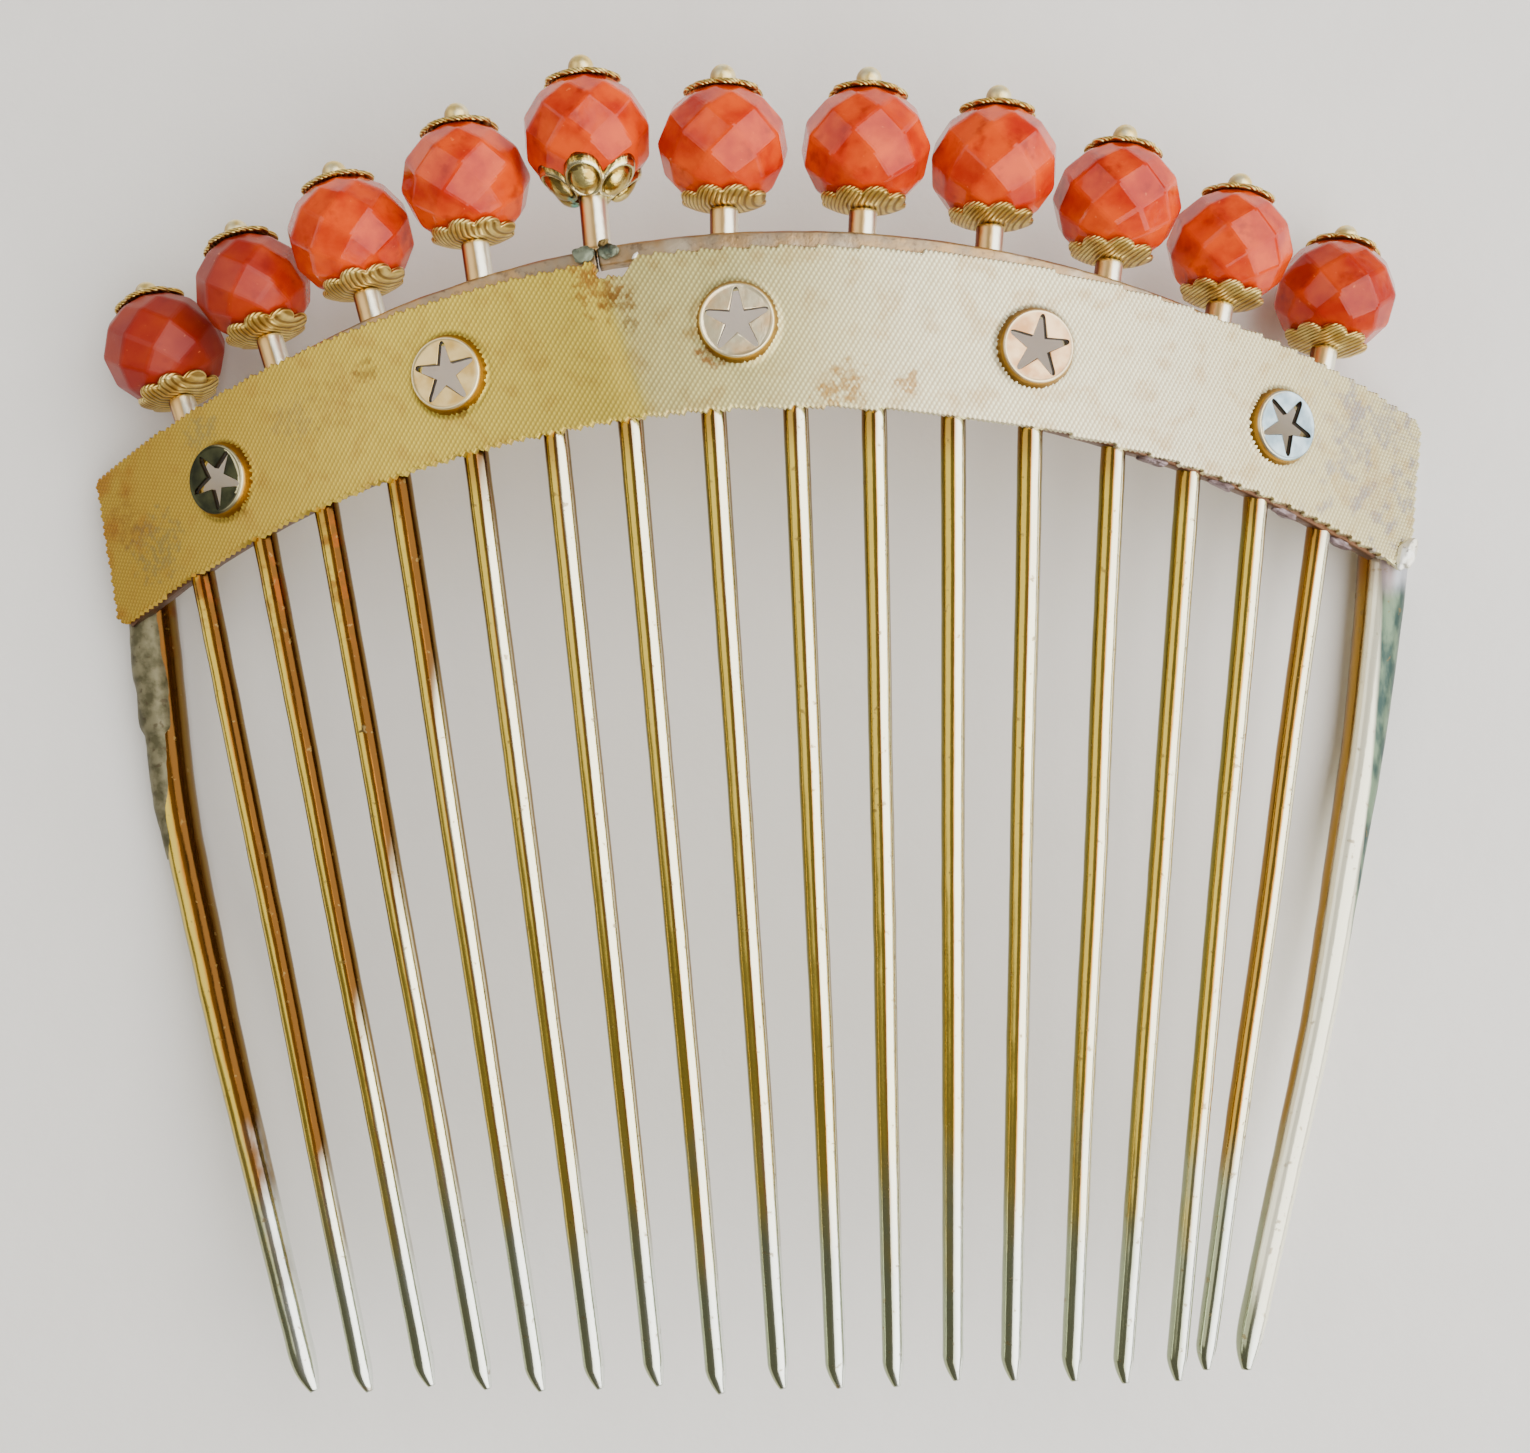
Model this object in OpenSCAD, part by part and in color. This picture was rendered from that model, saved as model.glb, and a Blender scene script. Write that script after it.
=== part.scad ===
// Chignon comb of gilt metal. A curved pierced band carries a row of faceted coral
// beads on short stems along its top, and eighteen round teeth below it.
// X runs to the right, Y up to the beads, and Z out of the front of the band. The comb
// lies on its hollow side, on the backs of its two thick end teeth, at Z = 0.

/* [Band] */
// Radius of the front face of the band
band_r = 74; // [72:0.5:78]
// Half the length of the band, along its front face
band_half = 44.8; // [44.4:0.1:45.2]
// Height of the plate at the middle
plate_h = 9.2; // [9:0.1:9.8]
// Drop of the top edge from the middle to the ends
top_drop = 9.5; // [9:0.1:10]
// Drop of the bottom edge from the middle to the ends
bottom_drop = 10.6; // [10:0.1:11.2]
// How much further the ends reach at the top than at the bottom
end_flare = 1.4; // [0.6:0.1:1.6]
// Thickness of the stamped plate
plate_t = 0.5; // [0.4:0.05:0.6]

/* [Rails behind the plate] */
// Width of a rail, seen from the front
rail_w = 1.1; // [0.9:0.05:1.3]
// Thickness of a rail, from front to back
rail_t = 1.2; // [1:0.1:1.4]
// How far the top rail stands above the plate at the middle
rail_lip = 1; // [0.6:0.1:1]
// How far the top rail lies below the edge of the plate at the ends
rail_dip = 1.2; // [1:0.1:1.6]
// How far the bottom rail hangs below the plate at the ends
rail_sag = 0.5; // [0.2:0.1:0.8]

/* [Teeth] */
// Diameter of an inner tooth at the band
tooth_d = 1.5; // [1.3:0.05:1.6]
// Diameter of an inner tooth at its tip
tip_d = 1.25; // [1:0.05:1.3]
// Diameter of an end tooth at the band
end_tooth_d = 2.7; // [2.2:0.1:2.9]
// Diameter of an end tooth at its tip
end_tip_d = 1.6; // [1.3:0.1:1.9]
// Distance from one inner tooth to the next, along the band
tooth_pitch = 4.95; // [4.9:0.05:5]
// Distance between the tips of the end teeth, when they were straight
tip_span = 60; // [56:0.5:64]
// How far the tips lie below the top edge of the plate
tip_depth = 66.2; // [60:0.2:72]

/* [Pierced discs] */
// Diameter of the flat face of a disc
disc_d = 4.15; // [3.9:0.05:4.3]
// How far the discs stand out of the plate
disc_rise = 0.7; // [0.5:0.05:0.9]
// Distance from one disc to the next, along the band
disc_pitch = 17; // [16.6:0.1:17.4]

/* [Beads] */
// Diameter of a coral bead
bead_d = 7.7; // [7.4:0.1:7.8]
// Number of facets round a bead
bead_sides = 8; // [7:1:8]
// Distance between the stems along the top rail
bead_pitch = 7.55; // [7.5:0.05:7.6]
// Length of a stem from the band to the lower cap
stem_len = 1.5; // [1.3:0.1:1.8]
// Diameter of a stem
stem_d = 1.65; // [1.5:0.05:1.7]
// Outward lean of the end stems
splay = 19; // [16:0.5:20]
// Radius of the cap under a bead
cap_r = 2.6; // [2.5:0.05:2.7]
// Diameter of the ball on top of a bead
ball_d = 1.5; // [1.3:0.1:1.6]

/* [Hidden] */
$fn = 48;
teeth = 18;
beads = 11;
discs = 5;

// Gap between pieces that are pinned or pressed together
fit_gap = 0.05;

// One row for each star disc: shift along the band, height over the middle line of the
// plate, and turn of the star
DISC_SHIFT = 0;
DISC_LIFT = 1;
DISC_TURN = 2;
disc_rows = [
    [0.1, -0.4, 40],
    [-0.8, 0.1, 4],
    [-0.7, 0.3, 0],
    [-0.4, -0.1, -10],
    [-1, -0.3, 34]];

// One row for each bead: shift of its stem along the rail, extra length of the stem,
// extra lean to the right, turn of the facets, and size against the largest bead
BEAD_SHIFT = 0;
BEAD_LIFT = 1;
BEAD_LEAN = 2;
BEAD_TURN = 3;
BEAD_SIZE = 4;
bead_rows = [
    [-0.3, 0.1, -1.8, 10, 1],
    [-0.2, 0.6, -2.4, 32, 0.93],
    [-0.7, 0.3, -2.6, 5, 1],
    [-1.1, 0.8, 1.5, 18, 1],
    [-1.3, 1.7, 0.7, 38, 1],
    [-1.3, 0.1, 1.8, 12, 1],
    [-0.7, 0, 1, 26, 1],
    [-0.6, 0, -1.4, 2, 1],
    [-0.6, -0.3, -1.1, 20, 1],
    [-0.5, -0.3, -1.5, 8, 1],
    [0.1, 0, -1.8, 30, 1]];
flower_bead = 5;

// One row for each inner tooth, from the left: how far it was set to the right of its
// place on the band, how far wear has bent its tip to the right, and how much lower its
// tip is
TOP_SHIFT = 0;
TIP_SHIFT = 1;
TIP_LOWER = 2;
tooth_rows = [
    [-0.1, 0.4, 0.6], [0.2, 0.9, 0], [0, 0.9, 0], [0.2, 0.7, 0], [0.4, 0.7, -0.2],
    [0.5, 0.7, -0.4], [0.1, 0.8, 0.1], [0.1, 0.9, -0.1], [0, 0.7, 0], [-0.3, 0.5, 0.1],
    [-0.5, 0.5, 0], [-0.7, 0.4, 0.3], [-0.3, 0.5, 0.7], [-0.1, 0.1, 1.2], [-0.1, -0.1, 1.5],
    [0, -1.8, 1.1]];

// One row for each end tooth: distance from the middle at its upper bend, at its lower
// bend and at its tip, and how much lower its tip is
KNEE_X = 0;
LOW_X = 1;
TIP_X = 2;
TIP_DROP = 3;
end_rows = [
    [-38.6, -35, -29.8, 0.9],
    [38.1, 33.9, 27.2, 1.5]];
end_top_x = 40;
end_top_y = -10.2;
knee_y = -31;
low_y = -47;

// The band's own frame has its front middle at z = 0 and the plate's top edge there at
// y = 0. These values take it to the surface that the comb lies on.
end_axis_r = band_r - plate_t - 0.3 - end_tooth_d / 2;
lying_z = sqrt(end_axis_r * end_axis_r - end_top_x * end_top_x) - band_r - end_tooth_d / 2;
middle_y = -27.9;

// Angle round the band of a point at this arc from the middle
function arc_angle(arc) = arc / band_r * 180 / PI;

// A number from 1 to 99 written with two digits
function two_digits(n) = n < 10 ? str("0", n) : str(n);

// Radius of the arc that drops so far at this distance from the middle, and the height
// of such an arc at a distance x
function arch_r(half, drop) = (half * half + drop * drop) / (2 * drop);
function arch_y(r, x) = sqrt(r * r - x * x) - r;

// Place on the band at this arc, height and radius
function band_point(arc, y, r) =
    [r * sin(arc_angle(arc)), y, r * cos(arc_angle(arc)) - band_r];

half_x = band_r * sin(arc_angle(band_half));
plate_top_r = arch_r(half_x, top_drop);
plate_bottom_r = arch_r(half_x, bottom_drop);
rail_top_r = arch_r(half_x, top_drop + rail_lip + rail_dip);
rail_cover = 0.4;
rail_bottom_y = -plate_h + rail_cover;
rail_bottom_r = arch_r(half_x, bottom_drop + rail_cover + rail_sag);
sunk = 0.1;
rail_r = band_r - plate_t + sunk;

// A shape that is drawn facing +Z, turned to its place on the band
module on_band(arc, y, r = band_r) {
    translate(band_point(arc, y, r)) rotate([0, arc_angle(arc), 0]) children();
}

// The wall of the band's cylinder, from its outer radius inward
module band_wall(r, thick) {
    low = -30;
    high = 10;
    translate([0, high, -band_r]) rotate([90, 0, 0]) difference() {
        cylinder(r = r, h = high - low, $fn = 180);
        translate([0, 0, -1]) cylinder(r = r - thick, h = high - low + 2, $fn = 180);
    }
}

// An arched strip seen from the front, between the arc of radius r_top whose crown is at
// y_top and the arc of radius r_bottom whose crown is at y_bottom
module arch(y_top, r_top, y_bottom, r_bottom, half) {
    crown = 5;
    foot = -30;
    end_y = -top_drop - plate_h / 2;
    wide = half + end_flare * (crown - end_y) / plate_h;
    narrow = half + end_flare * (foot - end_y) / plate_h;
    difference() {
        intersection() {
            translate([0, y_top - r_top]) circle(r = r_top, $fn = 360);
            polygon([[-wide, crown], [wide, crown], [narrow, foot], [-narrow, foot]]);
        }
        translate([0, y_bottom - r_bottom]) circle(r = r_bottom, $fn = 360);
    }
}

// A curved wall cut to an outline that is seen from the front
module cut_wall(r, thick) {
    deep = 30;
    intersection() {
        band_wall(r, thick);
        translate([0, 0, -deep]) linear_extrude(height = deep + 5) children();
    }
}

// Two arched rails are soldered to the back of the plate and end on the end teeth
module rails() {
    rail_half = half_x - 0.5;
    cut_wall(rail_r, rail_t + sunk) {
        arch(rail_lip, rail_top_r, rail_lip - rail_w, rail_top_r - rail_w, rail_half);
        arch(rail_bottom_y + rail_w, rail_bottom_r + rail_w, rail_bottom_y, rail_bottom_r,
            rail_half);
    }
}

// A round rod between two points, with its radius at each, and with its last stretch
// ground down to a smaller end
module rod(a, b, r_a, r_b, point_len = 0) {
    long = norm(b - a);
    slim = 0.4 * r_b;
    translate(a)
        rotate([0, acos((b - a).z / long), atan2((b - a).y, (b - a).x)])
            rotate_extrude()
                polygon(point_len == 0
                    ? [[0, 0], [r_a, 0], [r_b, long], [0, long]]
                    : [[0, 0], [r_a, 0], [r_b, long - point_len], [slim, long], [0, long]]);
}

// Distance of a tooth tip from the front of the band: the tips stand on a flatter curve
function tip_z(x) = -2.6 - 5.5 * pow(x / 30, 2);

// An inner tooth, from the bottom rail to its ground point
module tooth(n) {
    row = tooth_rows[n - 2];
    place = n - (teeth + 1) / 2;
    r = rail_r - tooth_d / 2;
    arc = place * tooth_pitch + row[TOP_SHIFT];
    x = r * sin(arc_angle(arc));
    top = band_point(arc, rail_bottom_y + arch_y(rail_bottom_r, x) + rail_w - 0.1, r);
    tip_x = place * tip_span / (teeth - 1) + row[TIP_SHIFT];
    tip = [tip_x, -tip_depth - row[TIP_LOWER], tip_z(tip_x)];
    rod(top, tip, tooth_d / 2, tip_d / 2, 1.3);
}

// An end tooth is a thicker rod with two bends. The comb lies on the back of its
// straight upper part.
module end_tooth(row) {
    side = sign(row[KNEE_X]);
    top_r = end_tooth_d / 2;
    knee_r = 0.46 * end_tooth_d;
    low_r = 0.38 * end_tooth_d;
    swell = 1.03;
    top = [side * end_top_x, end_top_y, lying_z + top_r];
    knee = [row[KNEE_X], knee_y, lying_z + swell * knee_r];
    tip = [row[TIP_X], -tip_depth - row[TIP_DROP], tip_z(row[TIP_X])];
    down = (low_y - knee_y) / (tip.y - knee_y);
    low = [row[LOW_X], low_y, knee.z + down * (tip.z - knee.z)];
    rod(top, knee, top_r, knee_r);
    translate(knee) sphere(r = swell * knee_r);
    rod(knee, low, knee_r, low_r);
    translate(low) sphere(r = swell * low_r);
    rod(low, tip, low_r, end_tip_d / 2, 1.6);
}

// The old lead solder that thickens the outer side of the left end tooth
module solder_sleeve() {
    translate([-end_top_x + 0.4, -29.5, lying_z + end_tooth_d / 2 + 0.25])
        rotate([-90, 0, -3])
            rotate_extrude()
                polygon([[0, 0], [0.6, 0.2], [0.8, 7.2], [1, 7.8], [1.1, 12.6], [0.8, 13.4],
                    [0, 13.6]]);
}

// Places of one bead's parts along its stem, from the stem's foot
function bead_row(n) = bead_rows[n - 1];
function bead_place(n) = n - (beads + 1) / 2;
function bead_arc(n) = bead_place(n) * bead_pitch + bead_row(n)[BEAD_SHIFT];
function bead_lean(n) = 2 * bead_place(n) / (beads - 1) * splay + bead_row(n)[BEAD_LEAN];
function bead_r(n) = bead_row(n)[BEAD_SIZE] * bead_d / 2;
function stem_top(n) = stem_len + bead_row(n)[BEAD_LIFT];
stem_axis_r = band_r - plate_t - stem_d / 2 - 0.1;
cap_t = 0.28;
pin_d = 0.8;
cap_bore = 0.9;

// Rings of points round a bead of radius 1, from its girdle up, as [radius, height].
// Each ring is turned by half a side from the one below it, and its height makes the
// four-sided facets flat. The whole bead is then pressed a little.
half_side = 180 / bead_sides;
ring_0 = [1, 0];
ring_1 = [cos(half_side), sin(half_side)];
ring_2 = next_ring(ring_0, ring_1);
ring_3 = next_ring(ring_1, ring_2);
ring_4 = next_ring(ring_2, ring_3);
function next_ring(a, b) =
    let (m = [b[0] * cos(half_side), b[1]], d = m - a) a - 2 * (a * d) / (d * d) * d;
pressed = 0.9;
function bead_table(n) = pressed * bead_r(n) * ring_4[1];

// Foot of a stem: the place where its axis meets the edge that it stands on
function stem_foot(n) =
    let (x = stem_axis_r * sin(arc_angle(bead_arc(n))))
    max(rail_lip + arch_y(rail_top_r, x), arch_y(plate_top_r, x));

// A shape that is made standing on the stem of a bead, turned to its place
module on_stem(n) {
    on_band(bead_arc(n), stem_foot(n), stem_axis_r)
        rotate([0, 0, -bead_lean(n)])
            rotate([-90, 0, 0])
                children();
}

// A stem is a short tube that takes the pin of its bead
module stem(n) {
    x = stem_axis_r * sin(arc_angle(bead_arc(n)));
    rail_y = rail_lip + arch_y(rail_top_r, x);
    root = (stem_foot(n) - rail_y + rail_w / 2) / cos(bead_lean(n));
    on_stem(n) translate([0, 0, -root])
        cylinder(d = stem_d, h = root + stem_top(n), $fn = 32);
}

// The blind hole in a stem, which goes on into the rail under a short stem
module stem_bore(n) {
    bore_deep = 1.6;
    on_stem(n) translate([0, 0, stem_top(n) - bore_deep])
        cylinder(d = cap_bore, h = bore_deep + 1, $fn = 24);
}

// The stamped plate, with a hole behind each disc and the piece that has broken out of
// its top edge
module plate() {
    hole_r = disc_d / 2 - 0.15;
    difference() {
        cut_wall(band_r, plate_t)
            arch(0, plate_top_r, -plate_h, plate_bottom_r, half_x);
        for (k = [1:discs])
            on_band(disc_arc(k), disc_y(k)) cylinder(r = hole_r, h = 4, center = true);
        translate([0, 0, -3]) linear_extrude(height = 4)
            polygon([[-8.8, 1], [-8.7, -1.3], [-7.3, -1.4], [-6.4, -0.5], [-6.2, 1]]);
    }
}

// Place of a disc's middle on the plate
function disc_arc(k) = (k - (discs + 1) / 2) * disc_pitch + disc_rows[k - 1][DISC_SHIFT];
function disc_y(k) =
    let (x = band_r * sin(arc_angle(disc_arc(k))))
    (arch_y(plate_top_r, x) + arch_y(plate_bottom_r, x) - plate_h) / 2
        + disc_rows[k - 1][DISC_LIFT];

// Plate, rails, teeth and stems are soldered into one piece
module comb() {
    color("gold") difference() {
        union() {
            plate();
            rails();
            for (n = [2:teeth - 1]) tooth(n);
            for (row = end_rows) end_tooth(row);
            solder_sleeve();
            for (n = [1:beads]) stem(n);
        }
        for (n = [1:beads]) stem_bore(n);
    }
}

// Five-pointed star with one point up
module star(outer, inner) {
    polygon([for (i = [0:9])
        let (r = i % 2 == 0 ? outer : inner) [r * sin(i * 36), r * cos(i * 36)]]);
}

// A star disc is a stamped cup turned over: a flat face with the star cut through it,
// and a sloping side that sits on the plate
module star_disc(k) {
    sheet = 0.3;
    slope = 0.3;
    face_r = disc_d / 2;
    color("tan") on_band(disc_arc(k), disc_y(k)) difference() {
        rotate_extrude() polygon([
            [0, disc_rise - sheet], [face_r - sheet, disc_rise - sheet],
            [face_r + slope - sheet, fit_gap], [face_r + slope, fit_gap],
            [face_r, disc_rise], [0, disc_rise]]);
        linear_extrude(height = 2)
            rotate(disc_rows[k - 1][DISC_TURN]) star(0.9 * face_r, 0.32 * face_r);
    }
}

// A coral bead cut with rows of four-sided facets, flat at both ends and drilled
module bead(n) {
    upper = [ring_1, ring_2, ring_3, ring_4];
    rings = concat([for (k = [3:-1:0]) [upper[k][0], -upper[k][1]]], [ring_0], upper);
    top = len(rings) - 1;
    sides = [0:bead_sides - 1];
    points = [for (k = [0:top]) for (j = sides)
        let (a = (2 * j + k % 2) * half_side, r = bead_r(n) * rings[k][0])
        [r * cos(a), r * sin(a), pressed * bead_r(n) * rings[k][1]]];
    kites = [for (k = [1:top - 1]) for (j = sides)
        [spot(k + 1, j + k % 2), spot(k, j + 1), spot(k - 1, j + k % 2), spot(k, j)]];
    upper_end = [for (j = sides) [spot(top, j), spot(top, j + 1), spot(top - 1, j)]];
    lower_end = [for (j = sides) [spot(1, j), spot(0, j + 1), spot(0, j)]];
    tables = [[for (j = sides) spot(0, j)], [for (j = sides) spot(top, -j)]];
    color("orangered") on_stem(n)
        translate([0, 0, stem_top(n) + cap_t + 2 * fit_gap + bead_table(n)])
            rotate(bead_row(n)[BEAD_TURN])
                difference() {
                    polyhedron(points, concat(kites, upper_end, lower_end, tables));
                    cylinder(d = 1.1, h = bead_d, center = true, $fn = 24);
                }
}

// Number of the point that stands at place j of ring k
function spot(k, j) = k * bead_sides + (j + bead_sides) % bead_sides;

// The body of a cap: sheet metal that is flat round the pin and rises to its rim. The
// rows give the underside as [radius, rise].
cap_rows = [[1.35, 0], [2.05, 0.2], [2.95, 0.62]];
flower_rows = [[1.35, 0], [2.1, 0.15], [3.3, 0.93]];
function raised(rows, by) = [for (row = rows) [row[0], row[1] + by]];
function reversed(rows) = [for (i = [len(rows) - 1:-1:0]) rows[i]];

// Outline of a cap with round lobes
module lobed(r, lobes, lobe_r, body_r) {
    circle(r = body_r);
    for (i = [1:lobes])
        rotate(i * 360 / lobes) translate([r - lobe_r, 0]) circle(r = lobe_r, $fn = 24);
}

// A scalloped cap, dished so that it follows the end of its bead
module scalloped_cap(r) {
    bore_r = cap_bore / 2;
    intersection() {
        rotate_extrude() polygon(concat(
            [[bore_r, 0]], cap_rows, reversed(raised(cap_rows, cap_t)), [[bore_r, cap_t]]));
        linear_extrude(height = 4) lobed(r, 8, 0.34 * r, 0.8 * r);
    }
}

// The cap of one bead was replaced by a larger flower with six domed petals
module flower_cap() {
    petals = 6;
    high = 1.3;
    difference() {
        union() {
            intersection() {
                rotate_extrude() polygon(concat([[0, 0]], flower_rows, [[3.3, high], [0, high]]));
                linear_extrude(height = 4) lobed(3.1, petals, 1.1, 2.2);
            }
            for (i = [1:petals])
                rotate(i * 360 / petals) translate([1.9, 0, 0.5]) sphere(r = 0.8, $fn = 32);
        }
        rotate_extrude()
            polygon(concat([[0, cap_t]], raised(flower_rows, cap_t), [[3.3, 3], [0, 3]]));
        cylinder(d = cap_bore, h = 9, center = true, $fn = 24);
    }
}

module lower_cap(n) {
    color("darkgoldenrod") on_stem(n) translate([0, 0, stem_top(n) + fit_gap]) {
        if (n == flower_bead) flower_cap();
        else rotate(11 * n) scalloped_cap(cap_r);
    }
}

// Height of the upper cap's top over the foot of the stem
function upper_cap_top(n) = stem_top(n) + 2 * cap_t + 3 * fit_gap + 2 * bead_table(n);

// The upper cap is a smaller one of the same kind, turned over on the bead
module upper_cap(n) {
    color("darkgoldenrod") on_stem(n) translate([0, 0, upper_cap_top(n)])
        mirror([0, 0, 1]) rotate(17 * n) scalloped_cap(0.9 * cap_r);
}

// The pin goes down through caps and bead into the stem, and its head is a ball with a
// flat seat
module head_pin(n) {
    seat = upper_cap_top(n) + fit_gap;
    low = stem_top(n) - 1.5;
    ball_z = seat + 0.3 * ball_d;
    color("khaki") on_stem(n) union() {
        translate([0, 0, low]) cylinder(d = pin_d, h = ball_z - low, $fn = 24);
        difference() {
            translate([0, 0, ball_z]) sphere(d = ball_d, $fn = 32);
            translate([0, 0, seat - 1]) cylinder(r = 2, h = 1);
        }
    }
}

// Takes every piece from the band's own frame to the surface that the comb lies on
module lay_down() {
    translate([0, -middle_y, -lying_z]) children();
}

lay_down() comb();
for (i = [1:discs])
    lay_down() star_disc(i);
for (i = [1:beads]) {
    lay_down() bead(i);
    lay_down() lower_cap(i);
    lay_down() upper_cap(i);
    lay_down() head_pin(i);
}
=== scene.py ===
# Chignon comb: the looks of a curved gilt band with five pierced discs, eighteen teeth and
# eleven coral beads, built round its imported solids. It lies on its hollow side, front up,
# with the beads towards +Y.

import math

import bmesh
import bpy
import numpy as np
from mathutils import Matrix, Vector, geometry, noise


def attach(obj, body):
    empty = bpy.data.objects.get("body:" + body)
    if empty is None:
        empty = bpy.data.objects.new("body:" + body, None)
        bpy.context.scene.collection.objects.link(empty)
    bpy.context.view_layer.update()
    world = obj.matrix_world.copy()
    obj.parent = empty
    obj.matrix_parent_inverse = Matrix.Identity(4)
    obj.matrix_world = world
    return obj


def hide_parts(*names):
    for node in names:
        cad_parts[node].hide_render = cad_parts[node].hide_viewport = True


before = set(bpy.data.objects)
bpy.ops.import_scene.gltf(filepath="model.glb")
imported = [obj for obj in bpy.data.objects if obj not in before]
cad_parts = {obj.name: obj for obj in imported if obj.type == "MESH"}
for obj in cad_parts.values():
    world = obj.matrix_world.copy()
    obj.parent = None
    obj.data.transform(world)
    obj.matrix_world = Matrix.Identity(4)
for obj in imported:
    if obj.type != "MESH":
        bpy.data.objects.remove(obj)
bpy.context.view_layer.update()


# Camera. It looks straight down on the comb from about 106 mm over the band, turned a
# little about its own axis. Places are worked out in millimetres, in the band's own frame,
# whose zero is the front of the plate at the middle of its top edge.
MM = 0.001
LAID = np.array([0, 27.9, 15.664])
PHOTO_WIDE = 1530
PHOTO_MIDDLE = (765, 726)
FOCAL_PX = 1850
EYE_HEIGHT = 105.6
EYE_SPOT = (-0.082, -27.416, 0)
ROLL = 0.0419
TURN = -0.00873


def into_scene(name, data):
    """A new object of the scene that shows this data."""
    made = bpy.data.objects.new(name, data)
    bpy.context.scene.collection.objects.link(made)
    return made


camera_data = bpy.data.cameras.new("camera")
camera_data.sensor_width = 36
camera_data.lens = FOCAL_PX * camera_data.sensor_width / PHOTO_WIDE
camera_data.clip_start = 0.01
camera = into_scene("camera", camera_data)
bpy.context.scene.camera = camera
level = Vector((math.cos(TURN), 0, math.sin(TURN)))
backward = Vector((-math.sin(TURN), 0, math.cos(TURN)))
northward = Vector((0, 1, 0))
rightward = math.cos(ROLL) * level - math.sin(ROLL) * northward
upward = math.sin(ROLL) * level + math.cos(ROLL) * northward
eye = (Vector(EYE_SPOT) + EYE_HEIGHT * backward + Vector(LAID)) * MM
camera.matrix_world = (
    Matrix.Translation(eye) @ Matrix((rightward, upward, backward)).transposed().to_4x4())


# Floor. A plain pale board, painted matt, that the comb lies on. Its paint is the first
# finish that is made, so the class and the functions for finishes stand here.
class Paint:
    """A socket of the finish that is being made. Sums on it add Math nodes."""

    tree = None

    def __init__(self, socket):
        self.socket = socket

    @staticmethod
    def node(kind, settings=None, inputs=None, output=0):
        made = Paint.tree.nodes.new(kind)
        for key, value in (settings or {}).items():
            setattr(made, key, value)
        for key, value in (inputs or {}).items():
            if isinstance(value, Paint):
                Paint.tree.links.new(value.socket, made.inputs[key])
            else:
                made.inputs[key].default_value = value
        return Paint(made.outputs[output]) if made.outputs else None

    def sum_of(self, operation, first, second):
        return Paint.node("ShaderNodeMath", {"operation": operation}, {0: first, 1: second})

    def __add__(self, other):
        return self.sum_of("ADD", self, other)

    def __sub__(self, other):
        return self.sum_of("SUBTRACT", self, other)

    def __rsub__(self, other):
        return self.sum_of("SUBTRACT", other, self)

    def __mul__(self, other):
        return self.sum_of("MULTIPLY", self, other)

    __radd__ = __add__
    __rmul__ = __mul__

    def most(self, other):
        return self.sum_of("MAXIMUM", self, other)

    def rise(self, low, high):
        """0 below low, 1 above high and smooth between them."""
        return Paint.node(
            "ShaderNodeMapRange", {"interpolation_type": "SMOOTHSTEP"},
            {"Value": self, "From Min": low, "From Max": high})

    def mix(self, none, full):
        """The first colour where this is 0 and the second where it is 1."""
        return Paint.node(
            "ShaderNodeMix", {"data_type": "RGBA"}, {0: self, 6: none, 7: full}, 2)


def tone(red, green, blue):
    """A colour given as it looks on a screen, from 0 to 255."""
    return tuple(
        value / 3294.6 if value < 10.3 else ((value / 255 + 0.055) / 1.055) ** 2.4
        for value in (red, green, blue)) + (1,)


def cloud(place, size, detail=2.0, stretch=None):
    """Soft noise from 0 to 1, in patches of about this size."""
    if stretch:
        place = Paint.node(
            "ShaderNodeVectorMath", {"operation": "MULTIPLY"}, {0: place, 1: stretch})
    return Paint.node(
        "ShaderNodeTexNoise", inputs={"Vector": place, "Scale": 1 / size, "Detail": detail})


def new_finish(name):
    """A new finish, and in it the place on the object in millimetres."""
    made = bpy.data.materials.new(name)
    made.use_nodes = True
    Paint.tree = made.node_tree
    Paint.tree.nodes.clear()
    place = Paint.node("ShaderNodeTexCoord", output="Object")
    return made, Paint.node(
        "ShaderNodeVectorMath", {"operation": "SCALE"}, {0: place, "Scale": 1 / MM})


def set_finish(colour, metal, rough, height=None, deep_mm=0.0, coat=0.0, ior=1.5):
    """Ends the finish that is being made with its shader."""
    wanted = {
        "Base Color": colour, "Metallic": metal, "Roughness": rough, "Coat Weight": coat,
        "IOR": ior}
    if height is not None:
        wanted["Normal"] = Paint.node(
            "ShaderNodeBump", inputs={"Height": height, "Distance": deep_mm * MM})
    shader = Paint.node("ShaderNodeBsdfPrincipled", inputs=wanted)
    Paint.node("ShaderNodeOutputMaterial", inputs={"Surface": shader})


FLOOR_HALF = 1.5
floor_paint, place = new_finish("pale_board")
floor_grain = cloud(place, 6, 4)
set_finish(
    floor_grain.mix(tone(234, 232, 228), tone(240, 238, 235)), 0, 0.7,
    cloud(place, 1.2, 3), 0.05)
floor_mesh = bpy.data.meshes.new("floor")
floor_mesh.from_pydata(
    [(-FLOOR_HALF, -FLOOR_HALF, 0), (FLOOR_HALF, -FLOOR_HALF, 0),
     (FLOOR_HALF, FLOOR_HALF, 0), (-FLOOR_HALF, FLOOR_HALF, 0)], [], [(0, 1, 2, 3)])
floor_mesh.materials.append(floor_paint)
into_scene("floor", floor_mesh)


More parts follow.
